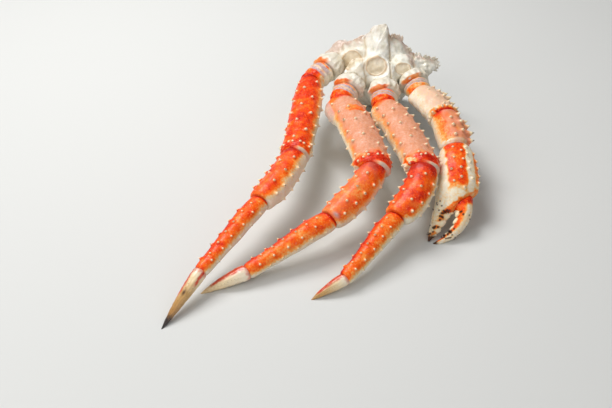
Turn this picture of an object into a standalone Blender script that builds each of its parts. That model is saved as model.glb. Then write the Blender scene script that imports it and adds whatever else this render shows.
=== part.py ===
"""A cooked king crab section, life size: the right half of the body (the shoulder) with the claw and
the three walking legs that grow from it, resting on its shoulder, its claw tip and its leg tips.

Metres, +Z up. Sizes below are in millimetres and degrees. Headings are measured from +X towards +Y,
so -90 points at a viewer who stands at -Y. The claw is at the crab's front, which is +X here."""

import math
import random

import bmesh
import bpy
from mathutils import Vector

MM = 0.001
JOINT_GAP = 0.3
FLOOR_SINK = 0.9
SHELL_SIDES = 16
DACTYL_SIDES = 12
FINGER_SIDES = 14
SHARP_ANGLE = 40
BELLY_FLATTENING = 0.12
MITRE_EASE = 0.35

# Each limb runs from the shoulder outwards. A segment is its name, length, heading, pitch, half width,
# half height, and how far its middle bows to the limb's left (seen along the limb).
LIMBS = {
    "claw": {
        "root": (130.1, 186.7, 61),
        "segments": [
            ("coxa", 15.7, -61.4, -11.0, 18.5, 17.0, 0),
            ("basis", 18.2, -73.8, -6.3, 16.5, 15.0, 0),
            ("merus", 64.7, -68.6, 0.9, 18.8, 16.0, 0),
            ("carpus", 58.0, -82.0, -6.9, 18.2, 17.0, 1.5),
        ],
    },
    "leg_1": {
        "root": (97.8, 172.0, 58),
        "segments": [
            ("coxa", 19.3, -92.5, -12.0, 18.5, 17.0, 0),
            ("basis", 21.0, -91.1, -6.8, 16.5, 15.5, 0),
            ("merus", 144.9, -75.0, 0.2, 20.5, 16.5, 2),
            ("carpus", 74.3, -119.0, -15.6, 17.5, 16.5, 6.5),
            ("propodus", 101.1, -125.9, -12.0, 12.5, 11.5, 1),
            ("dactyl", 43.3, -149.5, -14.7, 7.5, 7.0, 0),
        ],
    },
    "leg_2": {
        "root": (60.4, 178.4, 60),
        "segments": [
            ("coxa", 19.4, -119.0, -11.9, 18.5, 17.0, 0),
            ("basis", 24.9, -108.8, -5.8, 16.5, 15.5, 0),
            ("merus", 152.9, -77.2, 0.2, 21.5, 17.0, 4),
            ("carpus", 84.8, -128.1, -14.3, 16.6, 16.5, 4.5),
            ("propodus", 111.7, -144.7, -11.4, 13.5, 12.0, 1),
            ("dactyl", 54.7, -154.9, -10.7, 9.5, 8.5, 0),
        ],
    },
    "leg_3": {
        "root": (38.5, 226.0, 62),
        "segments": [
            ("coxa", 24.6, -126.1, -4.7, 18.5, 16.5, 0),
            ("basis", 32.4, -123.8, -3.5, 16.8, 15.0, 0),
            ("merus", 160.1, -96.6, -2.1, 18.0, 16.0, 1),
            ("carpus", 86.9, -116.2, -5.3, 16.5, 15.5, 3),
            ("propodus", 115.9, -122.1, -10.4, 12.0, 11.0, 0),
            ("dactyl", 76.8, -119.8, -17.0, 8.0, 7.5, 0),
        ],
    },
}

# Stations along a segment: the share of its length, the shares of its half width and half height,
# and how far its centre rises as a share of the half height. The end stations lie in the joints.
PROFILES = {
    "coxa": [(0, 0.86, 0.92, 0), (0.35, 0.95, 0.97, 0.02), (0.8, 1.1, 1.06, 0), (1, 1.04, 1.0, 0)],
    "basis": [(0, 0.86, 0.88, 0), (0.25, 1.0, 1.0, 0), (0.6, 0.94, 0.94, 0), (1, 0.9, 0.9, 0)],
    "merus": [
        (0, 0.7, 0.76, 0),
        (0.04, 0.84, 0.86, 0.02),
        (0.12, 0.96, 0.95, 0.05),
        (0.3, 1.0, 1.0, 0.08),
        (0.55, 1.01, 1.02, 0.08),
        (0.8, 0.97, 0.98, 0.04),
        (0.93, 1.0, 1.02, 0.02),
        (1, 0.92, 0.96, 0),
    ],
    "carpus": [
        (0, 0.88, 0.9, 0.02),
        (0.08, 0.97, 0.98, 0.02),
        (0.25, 1.0, 1.0, 0.02),
        (0.5, 1.04, 1.03, 0),
        (0.75, 1.03, 1.0, -0.03),
        (0.91, 0.94, 0.91, 0),
        (1, 0.84, 0.84, 0),
    ],
    "propodus": [
        (0, 0.9, 0.9, 0),
        (0.07, 0.98, 0.97, 0.02),
        (0.25, 1.0, 1.0, 0.18),
        (0.5, 0.88, 0.9, 0.1),
        (0.75, 0.74, 0.77, 0.02),
        (0.93, 0.72, 0.76, 0),
        (1, 0.64, 0.7, 0),
    ],
}

# Spines stand in rows. A row is its angle from the top of the limb, its count, and its size as a
# share of the segment's spine length.
SPINE_ROWS = {
    "merus": [(-100, 4, 0.7), (-62, 7, 1.0), (-26, 4, 0.9), (12, 4, 0.85), (50, 6, 0.9), (88, 4, 0.75)],
    "carpus": [(-95, 4, 0.9), (-55, 4, 1.0), (-15, 3, 0.85), (25, 3, 0.9), (70, 5, 1.0)],
    "propodus": [(-85, 5, 0.8), (-40, 5, 0.9), (5, 6, 0.8), (55, 5, 1.0), (100, 5, 0.8)],
    "claw_merus": [(-105, 3, 0.9), (-72, 5, 1.3), (-40, 4, 0.8), (-5, 3, 0.45)],
    "claw_carpus": [(-100, 3, 1.3), (-68, 4, 1.4), (-34, 3, 1.0), (2, 3, 0.8)],
    "claw_palm": [(-100, 4, 0.9), (-68, 5, 1.0), (-34, 5, 0.8), (-8, 5, 0.8), (18, 4, 0.75)],
}
SPINE_LENGTHS = {"merus": 4.6, "carpus": 4.2, "propodus": 3.2}
SPINE_LENGTHS.update({"claw_merus": 5.5, "claw_carpus": 5.5, "claw_palm": 3.8})
SPINE_SPAN = {"merus": (0.08, 0.95), "carpus": (0.14, 0.93), "propodus": (0.1, 0.92)}
SPINE_SPAN.update({"claw_merus": (0.1, 0.92), "claw_carpus": (0.12, 0.9), "claw_palm": (0.07, 0.9)})
# The palm ends aslant, so its outer rows stop at these shares of its length.
ROW_ENDS = {("claw_palm", -100): 0.72, ("claw_palm", -68): 0.74, ("claw_palm", -34): 0.8}
# A row starts this share of a spacing in, and each spine is shifted, turned and sized a little by chance.
ROW_START = 0.25
ROW_SHIFT = 0.012
ROW_TURN = 6
ROW_SIZES = (0.85, 1.15)
# A spine is a blunt cone that leans along the limb. Its radius and the depth of its sunk root are a share
# of its length and a least size; its root is flared and its tip is a share of the radius.
SPINE_SIDES = 5
SPINE_SEED = 11
SPINE_LEAN = 0.35
SPINE_RADIUS = (0.42, 0.8)
SPINE_SINK = (0.45, 0.6)
SPINE_FLARE = 1.15
SPINE_TIP = 0.16

# The walking legs' last segment is a claw that bends down to its dark point.
DACTYL_STATIONS = [(0, 1.0), (0.12, 0.98), (0.35, 0.84), (0.6, 0.6), (0.8, 0.38), (0.92, 0.2), (1, 0.07)]
DACTYL_DROOP = 1.5
DACTYL_HUMP = 0.5
SINK_CURVE = 1.5

# The big claw: its palm, and the two fingers that close against each other. The palm's end leans:
# how much of its plane's direction runs along the palm and how much to the right.
PALM_LENGTH = 78.7
PALM_HEADING = -89.5
PALM_PITCH = -14.4
PALM_HALF_WIDTH = 22.5
PALM_HALF_HEIGHT = 16.5
PALM_END_LEAN = (0.82, 0.57)
PALM_PROFILE = [
    (0, 0.76, 0.84, 0),
    (0.07, 0.86, 0.94, 0),
    (0.25, 0.95, 1.0, 0.05),
    (0.49, 1.02, 1.0, 0.05),
    (0.66, 1.04, 0.94, 0.02),
    (0.82, 1.0, 0.8, -0.05),
    (1, 0.94, 0.6, -0.25),
]
# A finger's stations: how far along and to the right of the palm's end, how far below it, and its
# half width and half height. Teeth are told the same way, with their radius.
FIXED_FINGER = [
    (-40.5, -10.0, 0, 12.0, 12.0),
    (-22.5, -13.0, 0.5, 12.5, 12.0),
    (-8.5, -17.0, 3, 11.0, 11.0),
    (3.5, -21.5, 6.5, 9.0, 9.5),
    (16.5, -27.0, 11, 7.2, 7.5),
    (28.5, -32.0, 15.5, 5.0, 5.0),
    (37.5, -36.5, 18.5, 2.6, 2.6),
    (41, -38.5, 19.8, 1.2, 1.2),
]
MOVING_FINGER = [
    (-1.7, 3.0, 4.5, 12.0, 9.0),
    (11.5, 4.5, 6, 7.8, 8.4),
    (21.5, 0.5, 9.5, 6.4, 7.4),
    (29.5, -5.0, 12.8, 5.4, 6.2),
    (35.5, -12.5, 15.6, 4.6, 5.0),
    (40.5, -21.5, 18.2, 3.4, 3.6),
    (43.2, -29.0, 20.2, 2.0, 2.0),
    (44, -33.0, 21, 1.2, 1.2),
]
FINGER_TEETH = [(7, -15.0, 7, 3.4), (16, -20.0, 10.5, 3.2), (25, -25.0, 14, 2.6)]

# The shoulder is a fan of swollen shell chambers, one behind each limb and a broken one at the front.
# It is told in upright slices across the fan: x, y of its face, y and z of its crest, z of its
# underside, and y of the side where the body was split.
SLICES = [
    (25, 243.0, 244.5, 66, 54, 248),
    (31, 240.0, 242.0, 72, 46, 248),
    (38, 236.0, 239.0, 78, 34, 248),
    (44, 231.0, 236.0, 82.5, 20, 248),
    (50, 225.5, 233.0, 87.5, 8, 247),
    (54, 217.0, 231.0, 90.5, 2, 246),
    (58, 206.0, 229.0, 93.5, -1, 245),
    (63, 195.0, 227.0, 96, -1, 244),
    (68, 188.0, 226.0, 99, -1, 243),
    (74, 184.0, 226.0, 102, -1, 243),
    (79, 181.5, 226.0, 105, -1, 243),
    (83, 180.0, 226.0, 112, -1, 243),
    (88, 179.5, 226.0, 115, -1, 243),
    (94, 179.0, 226.0, 116.5, -1, 243),
    (100, 179.5, 226.0, 115.5, -1, 243),
    (103.5, 180.5, 226.0, 111, -1, 243),
    (106, 181.0, 226.0, 98, -1, 243),
    (110, 183.0, 225.0, 101.5, -1, 243),
    (115, 186.0, 225.0, 100, 0, 243),
    (121, 190.5, 224.0, 97, 4, 243),
    (127, 196.0, 222.0, 89, 12, 242),
    (133, 200.5, 219.0, 82, 22, 239),
    (140, 203.0, 216.0, 79, 34, 235),
    (147, 204.0, 214.0, 78, 43, 230),
    (154, 204.0, 212.0, 79, 50, 225),
    (161, 203.5, 210.0, 78, 58, 219),
    (167, 204.0, 209.0, 76, 66, 213),
]
CREASES = [18, 48, 74, 106, 137, 168]
CHAMBER_BULGE = 4.5
CREST_THICKNESS = 3.0
CREST_DROP = 0.6
FACE_STEPS = 8
BACK_STEPS = 7
# The face is widest at this height. Below it the face draws back to its foot, no deeper than a length
# or a share of the slice; above it the face leans back to the crest. Both curve.
WIDEST_AT = 60
FOOT_DEPTH = 21
FOOT_SHARE = 0.6
FOOT_CURVE = 0.8
CREST_CURVE = 1.25
# The split side leans, by so much in a height of 100, and bulges with meat in tiers.
SPLIT_LEAN = 8 / 100
SPLIT_EASE = 3
MEAT_BULGE = 2.5
TIER_START = 4
TIER_HEIGHT = 58
# Each chamber swells back from its limb: how far back, its share of the limb's width and height
# there, and how far it has risen.
CHAMBER_RINGS = [(0, 1.0, 1.0, 0), (6, 1.08, 1.1, 1), (14, 1.1, 1.2, 3), (22, 0.95, 1.1, 5), (27, 0.6, 0.8, 6)]

SHELL_RED = (0.78, 0.14, 0.035)
SHELL_CREAM = (0.72, 0.6, 0.42)
BODY_WHITE = (0.8, 0.76, 0.66)
HORN_TAN = (0.5, 0.34, 0.13)


def clear_scene():
    for thing in list(bpy.data.objects):
        bpy.data.objects.remove(thing, do_unlink=True)


def shell_material(name, colour, roughness):
    material = bpy.data.materials.new(name)
    material.use_nodes = True
    shader = material.node_tree.nodes["Principled BSDF"]
    shader.inputs["Base Color"].default_value = (*colour, 1)
    shader.inputs["Roughness"].default_value = roughness
    shader.inputs["Metallic"].default_value = 0.0
    return material


def direction(heading, pitch):
    h = math.radians(heading)
    p = math.radians(pitch)
    return Vector((math.cos(h) * math.cos(p), math.sin(h) * math.cos(p), math.sin(p)))


def axes_along(forward):
    """The side and top directions of a limb that runs forward."""
    side = forward.cross(Vector((0, 0, 1))).normalized()
    return side, side.cross(forward).normalized()


def section_point(centre, side, top, half_width, half_height, angle):
    """A point of the shell's outline. The angle is measured from the top; the belly is flatter."""
    a = math.radians(angle)
    belly = 1 - BELLY_FLATTENING * max(0.0, -math.cos(a))
    return centre + side * (half_width * math.sin(a)) + top * (half_height * belly * math.cos(a))


def outline(centre, side, top, half_width, half_height, sides=SHELL_SIDES):
    turn = 360 / sides
    return [section_point(centre, side, top, half_width, half_height, turn * (i + 0.5)) for i in range(sides)]


def slide_to_plane(points, along, origin, normal):
    """Moves each point along a direction until it lies in a plane."""
    return [p + along * ((origin - p).dot(normal) / along.dot(normal)) for p in points]


def loft(name, rings):
    """One closed body through rings of equal point counts, closed flat at each end."""
    mesh = bmesh.new()
    rows = [[mesh.verts.new(p * MM) for p in ring] for ring in rings]
    count = len(rows[0])
    for lower, upper in zip(rows, rows[1:]):
        for i in range(count):
            j = (i + 1) % count
            mesh.faces.new((lower[i], lower[j], upper[j], upper[i]))
    mesh.faces.new(rows[0])
    mesh.faces.new(rows[-1])
    return finish_mesh(name, mesh)


def finish_mesh(name, mesh):
    bmesh.ops.recalc_face_normals(mesh, faces=mesh.faces[:])
    bmesh.ops.triangulate(mesh, faces=mesh.faces[:])
    data = bpy.data.meshes.new(name)
    mesh.to_mesh(data)
    mesh.free()
    thing = bpy.data.objects.new(name, data)
    bpy.context.scene.collection.objects.link(thing)
    return thing


def spine(foot, outward, lean, length):
    """A blunt cone whose root is sunk into the shell."""
    tip = (outward + lean * SPINE_LEAN).normalized()
    side = tip.orthogonal().normalized()
    up = tip.cross(side)
    radius = SPINE_RADIUS[0] * length + SPINE_RADIUS[1]
    sunk = foot - outward * (SPINE_SINK[0] * length + SPINE_SINK[1])
    turn = 2 * math.pi / SPINE_SIDES
    around = [side * math.cos(turn * i) + up * math.sin(turn * i) for i in range(SPINE_SIDES)]
    ends = ((sunk, radius * SPINE_FLARE), (foot + tip * length, radius * SPINE_TIP))
    return loft("spine", [[centre + way * size for way in around] for centre, size in ends])


def largest_body(thing):
    """Keeps the mesh's largest closed surface only."""
    mesh = bmesh.new()
    mesh.from_mesh(thing.data)
    left = set(mesh.faces)
    bodies = []
    while left:
        body = {left.pop()}
        front = list(body)
        while front:
            face = front.pop()
            for edge in face.edges:
                for near in edge.link_faces:
                    if near in left:
                        left.discard(near)
                        body.add(near)
                        front.append(near)
        bodies.append(body)
    keep = max(bodies, key=lambda faces: sum(f.calc_area() for f in faces))
    drop = [f for body in bodies if body is not keep for f in body]
    bmesh.ops.delete(mesh, geom=drop, context="FACES")
    loose = [v for v in mesh.verts if not v.link_faces]
    bmesh.ops.delete(mesh, geom=loose, context="VERTS")
    mesh.to_mesh(thing.data)
    mesh.free()


def union(body, extras):
    """Joins the extras to the body by one Boolean, then removes them."""
    group = bpy.data.collections.new(body.name + "_pieces")
    bpy.context.scene.collection.children.link(group)
    for extra in extras:
        for holder in list(extra.users_collection):
            holder.objects.unlink(extra)
        group.objects.link(extra)
    joined = body.modifiers.new("join", "BOOLEAN")
    joined.operation = "UNION"
    joined.operand_type = "COLLECTION"
    joined.collection = group
    joined.solver = "EXACT"
    graph = bpy.context.evaluated_depsgraph_get()
    whole = bpy.data.meshes.new_from_object(body.evaluated_get(graph))
    body.modifiers.clear()
    body.data = whole
    for extra in extras:
        bpy.data.objects.remove(extra, do_unlink=True)
    bpy.data.collections.remove(group)
    largest_body(body)
    return body


def cut_at_floor(thing):
    """Takes off what lies under the floor and closes the cut with a flat."""
    mesh = bmesh.new()
    mesh.from_mesh(thing.data)
    geometry = mesh.verts[:] + mesh.edges[:] + mesh.faces[:]
    cut = bmesh.ops.bisect_plane(
        mesh, geom=geometry, dist=1e-7, plane_co=(0, 0, 0), plane_no=(0, 0, -1), clear_outer=True
    )
    rim = [e for e in cut["geom_cut"] if isinstance(e, bmesh.types.BMEdge)]
    if rim:
        bmesh.ops.holes_fill(mesh, edges=rim, sides=0)
        bmesh.ops.triangulate(mesh, faces=mesh.faces[:])
    mesh.to_mesh(thing.data)
    mesh.free()


def read_profile(profile, share):
    """Half width, half height and rise of a profile, read between its stations."""
    for (u0, *low), (u1, *high) in zip(profile, profile[1:]):
        if share <= u1:
            t = (share - u0) / (u1 - u0)
            return [a + (b - a) * t for a, b in zip(low, high)]
    return profile[-1][1:]


def segment_of(start, way, length, profile, half_width, half_height, bow):
    """What a station along a segment is worked out from."""
    side, top = axes_along(way)
    return {
        "start": start,
        "end": start + way * length,
        "way": way,
        "side": side,
        "top": top,
        "length": length,
        "profile": profile,
        "half_width": half_width,
        "half_height": half_height,
        "bow": bow,
    }


def station(seg, share):
    """The centre, half width and half height of a segment at a share of its length."""
    wide, high, rise = read_profile(seg["profile"], share)
    centre = seg["start"].lerp(seg["end"], share)
    centre += seg["top"] * (rise * seg["half_height"])
    centre -= seg["side"] * (seg["bow"] * 4 * share * (1 - share))
    return centre, seg["half_width"] * wide, seg["half_height"] * high


def limb_segments(limb):
    """The segments of a limb, each begun where the one before it ends."""
    start = Vector(limb["root"])
    found = []
    for part, length, heading, pitch, half_width, half_height, bow in limb["segments"]:
        profile = PROFILES.get(part, PROFILES["propodus"])
        seg = segment_of(start, direction(heading, pitch), length, profile, half_width, half_height, bow)
        seg["part"] = part
        found.append(seg)
        start = seg["end"]
    return found


def shell_tube(name, seg, start_plane, end_plane):
    """A segment's shell, whose two ends lie in the planes that it shares with its neighbours."""
    way = seg["way"]
    rings = []
    for share, _, _, _ in seg["profile"]:
        centre, wide, high = station(seg, share)
        rings.append(outline(centre, seg["side"], seg["top"], wide, high))
    half_gap = JOINT_GAP / 2
    start, end = seg["start"], seg["end"]
    rings[0] = slide_to_plane(rings[0], way, start + start_plane * half_gap, start_plane)
    rings[-1] = slide_to_plane(rings[-1], way, end - end_plane * half_gap, end_plane)
    for inner, at, plane in ((1, start, start_plane), (-2, end, end_plane)):
        flat = slide_to_plane(rings[inner], way, at + way * (rings[inner][0] - at).dot(way), plane)
        rings[inner] = [p.lerp(q, MITRE_EASE) for p, q in zip(rings[inner], flat)]
    return loft(name, rings)


def rows_of_spines(seg, kind, draw):
    """The spines of one segment, in rows along it."""
    first, last = SPINE_SPAN[kind]
    found = []
    for order, (angle, count, size) in enumerate(SPINE_ROWS[kind]):
        stagger = 0.5 if order % 2 else 0.0
        row_end = ROW_ENDS.get((kind, angle), last)
        for i in range(count):
            share = first + (row_end - first) * (i + ROW_START + stagger) / count
            share = min(row_end, share + draw.uniform(-ROW_SHIFT, ROW_SHIFT))
            turned = angle + draw.uniform(-ROW_TURN, ROW_TURN)
            centre, wide, high = station(seg, share)
            foot = section_point(centre, seg["side"], seg["top"], wide, high, turned)
            a = math.radians(turned)
            outward = seg["side"] * (math.sin(a) / wide) + seg["top"] * (math.cos(a) / high)
            length = SPINE_LENGTHS[kind] * size * draw.uniform(*ROW_SIZES)
            found.append(spine(foot, outward.normalized(), seg["way"], length))
    return found


def build_limb(limb_name, segments, hand_way, draw):
    """A limb's shells, up to the last joint."""
    ways = [seg["way"] for seg in segments]
    if hand_way is not None:
        ways.append(hand_way)
    nodes = []
    for i, seg in enumerate(segments):
        part = seg["part"]
        if part == "dactyl":
            continue
        before = (ways[i - 1] + ways[i]).normalized() if i else ways[0]
        after = (ways[i] + ways[i + 1]).normalized()
        node = shell_tube(f"{limb_name}_{part}", seg, before, after)
        kind = f"claw_{part}" if limb_name == "claw" else part
        if kind in SPINE_ROWS:
            union(node, rows_of_spines(seg, kind, draw))
        nodes.append(node)
    return nodes


def build_dactyl(name, seg, before):
    """A walking leg's pointed last segment, which arches and then bends down to the floor."""
    way, side, top = seg["way"], seg["side"], seg["top"]
    rings = []
    for share, size in DACTYL_STATIONS:
        bend = DACTYL_HUMP * math.sin(math.pi * share) - DACTYL_DROOP * share**3
        centre = seg["start"] + way * (seg["length"] * share) + top * bend
        half_width, half_height = seg["half_width"] * size, seg["half_height"] * size
        rings.append(outline(centre, side, top, half_width, half_height, sides=DACTYL_SIDES))
    plane = (way + before).normalized()
    rings[0] = slide_to_plane(rings[0], way, seg["start"] + plane * (JOINT_GAP / 2), plane)
    drop = min(p.z for p in rings[-1]) + FLOOR_SINK
    for order, (share, _) in enumerate(DACTYL_STATIONS):
        if order:
            rings[order] = [p - Vector((0, 0, drop * share**SINK_CURVE)) for p in rings[order]]
    node = loft(name, rings)
    cut_at_floor(node)
    return node


def build_finger(name, hand, stations, start_plane=None):
    """One finger of the big claw, from stations told in the hand's own directions."""
    origin, way, side, top = hand
    rings = []
    centres = [origin + way * a - side * right - top * below for a, right, below, _, _ in stations]
    for i, (_, _, _, half_width, half_height) in enumerate(stations):
        ahead = centres[min(i + 1, len(centres) - 1)] - centres[max(i - 1, 0)]
        finger_side = ahead.cross(top).normalized()
        finger_top = finger_side.cross(ahead).normalized()
        rings.append(outline(centres[i], finger_side, finger_top, half_width, half_height, sides=FINGER_SIDES))
    if start_plane is not None:
        rings[0] = slide_to_plane(rings[0], way, origin + start_plane * (JOINT_GAP / 2), start_plane)
    return loft(name, rings)


def build_claw_hand(elbow, arm_way, draw):
    """The palm with its fixed finger, and the moving finger."""
    way = direction(PALM_HEADING, PALM_PITCH)
    seg = segment_of(elbow, way, PALM_LENGTH, PALM_PROFILE, PALM_HALF_WIDTH, PALM_HALF_HEIGHT, 0)
    lean = (way * PALM_END_LEAN[0] - seg["side"] * PALM_END_LEAN[1]).normalized()
    palm = shell_tube("claw_palm", seg, (arm_way + way).normalized(), lean)
    hand = (seg["end"], way, seg["side"], seg["top"])
    pieces = [build_finger("fixed", hand, FIXED_FINGER)]
    for along, right, below, size in FINGER_TEETH:
        place = seg["end"] + way * along - seg["side"] * right - seg["top"] * below
        pieces.append(build_tooth(place, size))
    pieces += rows_of_spines(seg, "claw_palm", draw)
    union(palm, pieces)
    cut_at_floor(palm)
    finger = build_finger("claw_finger", hand, MOVING_FINGER, start_plane=lean)
    cut_at_floor(finger)
    return [palm, finger]


def build_tooth(place, size):
    """A rounded tooth of the fixed finger."""
    mesh = bmesh.new()
    bmesh.ops.create_icosphere(mesh, subdivisions=1, radius=size * MM)
    bmesh.ops.translate(mesh, verts=mesh.verts[:], vec=place * MM)
    return finish_mesh("tooth", mesh)


def chamber_share(x):
    """How far x lies across its chamber, from one crease at 0 to the next at 1."""
    for left, right in zip(CREASES, CREASES[1:]):
        if x <= right:
            return (x - left) / (right - left)
    return 1.0


def face_depth(t, z, foot_y, face_y, crest_y, crest_z, under_z, swell):
    """y of the fan's outer face, at the share t of a slice's height."""
    if z < WIDEST_AT:
        u = (z - under_z) / (WIDEST_AT - under_z)
        y = foot_y + (face_y - foot_y) * math.sin(u * math.pi / 2) ** FOOT_CURVE
    else:
        u = (z - WIDEST_AT) / max(1.0, crest_z - WIDEST_AT)
        y = face_y + (crest_y - face_y) * u**CREST_CURVE
    return y - CHAMBER_BULGE * swell * math.sin(math.pi * min(1.0, t * 0.9 + 0.1))


def slice_loop(x, face_y, crest_y, crest_z, under_z, split_y):
    """One upright slice: up the swollen face, over the thin crest and down the split side."""
    swell = math.sin(math.pi * max(0.0, min(1.0, chamber_share(x))))
    foot_y = split_y - min(FOOT_DEPTH, (split_y - face_y) * FOOT_SHARE)
    shape = (foot_y, face_y, crest_y, crest_z, under_z, swell)
    points = []
    for step in range(FACE_STEPS + 1):
        t = step / FACE_STEPS
        z = under_z + (crest_z - under_z) * t
        points.append(Vector((x, face_depth(t, z, *shape), z)))
    for step in range(BACK_STEPS + 1):
        t = 1 - step / BACK_STEPS
        z = under_z + (crest_z - CREST_DROP - under_z) * t
        near = face_depth(t, z, *shape) + CREST_THICKNESS
        ease = math.sin(min(1.0, (1 - t) * SPLIT_EASE) * math.pi / 2)
        split = split_y - SPLIT_LEAN * max(0.0, z)
        tier = abs(math.sin(math.pi * (z - TIER_START) / TIER_HEIGHT))
        relief = MEAT_BULGE * (swell * tier - 1) * ease
        y = near + (split - near) * ease + relief
        points.append(Vector((x, max(near, y), z)))
    return points


def build_chamber(root, way, half_width, half_height):
    """The chamber that a limb springs from, from its ring back into the fan."""
    side, top = axes_along(way)
    rings = []
    for back, wide, high, rise in reversed(CHAMBER_RINGS):
        centre = root - way * (back + JOINT_GAP / 2) + top * rise
        rings.append(outline(centre, side, top, half_width * wide, half_height * high))
    return loft("chamber", rings)


def build_shoulder():
    body = loft("shoulder", [slice_loop(*each) for each in SLICES])
    _, wide, high, _ = PROFILES["coxa"][0]
    chambers = []
    for limb in LIMBS.values():
        way = direction(*limb["segments"][0][2:4])
        half_width, half_height = limb["segments"][0][4:6]
        chambers.append(build_chamber(Vector(limb["root"]), way, half_width * wide, half_height * high))
    union(body, chambers)
    cut_at_floor(body)
    return body


def centre_on_floor(nodes):
    """Moves the whole model so that its box is centred over the origin."""
    corners = [v.co for node in nodes for v in node.data.vertices]
    middle_x = (min(c.x for c in corners) + max(c.x for c in corners)) / 2
    middle_y = (min(c.y for c in corners) + max(c.y for c in corners)) / 2
    for node in nodes:
        for vertex in node.data.vertices:
            vertex.co.x -= middle_x
            vertex.co.y -= middle_y


def main():
    clear_scene()
    red = shell_material("cooked shell, red", SHELL_RED, 0.42)
    cream = shell_material("cooked shell, cream", SHELL_CREAM, 0.45)
    white = shell_material("body shell, white", BODY_WHITE, 0.5)
    horn = shell_material("claw horn, tan", HORN_TAN, 0.35)
    draw = random.Random(SPINE_SEED)
    nodes = [build_shoulder()]
    for limb_name, limb in LIMBS.items():
        segments = limb_segments(limb)
        last = segments[-1]
        if last["part"] == "dactyl":
            nodes += build_limb(limb_name, segments, None, draw)
            nodes.append(build_dactyl(f"{limb_name}_dactyl", last, segments[-2]["way"]))
        else:
            nodes += build_limb(limb_name, segments, direction(PALM_HEADING, PALM_PITCH), draw)
            nodes += build_claw_hand(last["end"], last["way"], draw)
    for node in nodes:
        paint = red
        if "dactyl" in node.name:
            paint = horn
        elif node.name in ("claw_palm", "claw_finger"):
            paint = cream
        elif node.name == "shoulder" or "coxa" in node.name:
            paint = white
        node.data.materials.clear()
        node.data.materials.append(paint)
        node.data.shade_smooth()
        node.data.set_sharp_from_angle(angle=math.radians(SHARP_ANGLE))
    centre_on_floor(nodes)


main()
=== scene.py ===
"""A cooked king crab section in a plain studio: the shoulder, three walking legs and the claw limb.

Shapes are worked out in the drawing's own millimetres. Each point is then laid about the part's centre
and turned to metres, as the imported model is."""

import math
import random

import bpy
import numpy as np
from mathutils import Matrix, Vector


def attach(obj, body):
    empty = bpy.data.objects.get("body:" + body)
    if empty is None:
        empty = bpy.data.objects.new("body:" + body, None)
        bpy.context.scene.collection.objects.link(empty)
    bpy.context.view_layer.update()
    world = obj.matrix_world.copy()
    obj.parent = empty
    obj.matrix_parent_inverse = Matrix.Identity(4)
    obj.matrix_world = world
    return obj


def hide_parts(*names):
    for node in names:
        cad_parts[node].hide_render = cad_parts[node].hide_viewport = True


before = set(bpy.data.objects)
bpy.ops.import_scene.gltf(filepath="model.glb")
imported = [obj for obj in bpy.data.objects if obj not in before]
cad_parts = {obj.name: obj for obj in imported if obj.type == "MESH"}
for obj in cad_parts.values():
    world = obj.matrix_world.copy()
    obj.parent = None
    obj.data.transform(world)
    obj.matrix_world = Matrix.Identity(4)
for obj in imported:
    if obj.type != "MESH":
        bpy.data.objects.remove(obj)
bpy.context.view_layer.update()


# The studio: a plain pale sheet of matt paper that the section lies on, under three soft box lights.
# The camera looks down at 36 degrees through the photograph's own lens, from 1.4 m away.
MM = 0.001
CENTRE = Vector((26.168831, 17.875545, 0.0))  # the drawing's point, in mm, that the part is centred on
FLOOR_WIDTH = 12
FLOOR_PALE = "#D2D2CF"
LAMP_AIM = (0, 0, 0.03)
LOOK_DOWN = math.radians(36)
STAND_OFF = 1400 * MM
PHOTO_WIDTH = 612
FOCAL_PIXELS = 1200  # the lens fitted to the photograph, in its own pixels
SENSOR_WIDTH = 36


def colour(hex_code):
    """An sRGB hex value as linear red, green, blue and a solid alpha."""
    parts = [int(hex_code[i:i + 2], 16) / 255 for i in (1, 3, 5)]
    return [p / 12.92 if p <= 0.04045 else ((p + 0.055) / 1.055) ** 2.4 for p in parts] + [1.0]


def new_material(name):
    """A material with an empty node tree, and the output of its one coordinate node."""
    material = bpy.data.materials.new(name)
    material.use_nodes = True
    material.node_tree.nodes.clear()
    return material, add_node(material, "ShaderNodeTexCoord", out="Object")


def add_node(material, kind, settings=None, sockets=None, out=0):
    """Adds one node and gives its output. Settings are the node's properties.

    A socket takes a number, a row of numbers, a hex colour or the output of another node."""
    node = material.node_tree.nodes.new(kind)
    for key, value in (settings or {}).items():
        setattr(node, key, value)
    for key, value in (sockets or {}).items():
        if isinstance(value, bpy.types.NodeSocket):
            material.node_tree.links.new(value, node.inputs[key])
        else:
            node.inputs[key].default_value = colour(value) if isinstance(value, str) else value
    return node.outputs[out] if node.outputs else None


def noise(material, place, scale, detail, roughness=0.5):
    """Cloudy noise. Its features are about 1000 / scale mm across."""
    return add_node(material, "ShaderNodeTexNoise", out="Fac", sockets={
        "Vector": place, "Scale": scale, "Detail": detail, "Roughness": roughness})


def dented(material, height, strength, depth):
    """The skin's facing, dented by a height to about a depth in mm."""
    return add_node(material, "ShaderNodeBump", sockets={
        "Strength": strength, "Distance": depth * MM, "Height": height})


def finish(material, sockets):
    """The material's one shader, its constants on its own sockets, led to the output."""
    shader = add_node(material, "ShaderNodeBsdfPrincipled", sockets=sockets)
    add_node(material, "ShaderNodeOutputMaterial", sockets={"Surface": shader})


# Matt paper: no gloss, and a faint tooth. It is 1.1 mm across, coarser than real paper so that it shows.
paper, place = new_material("matt studio paper")
tooth = noise(paper, place, scale=900.0, detail=3.0)
finish(paper, {"Base Color": FLOOR_PALE, "Roughness": 0.85,
               "Normal": dented(paper, tooth, strength=0.05, depth=0.2)})

bpy.ops.object.select_all(action="DESELECT")
bpy.ops.mesh.primitive_plane_add(size=FLOOR_WIDTH, location=(0, 0, 0))
floor = bpy.context.object
floor.name = "floor"
floor.data.materials.append(paper)


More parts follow.
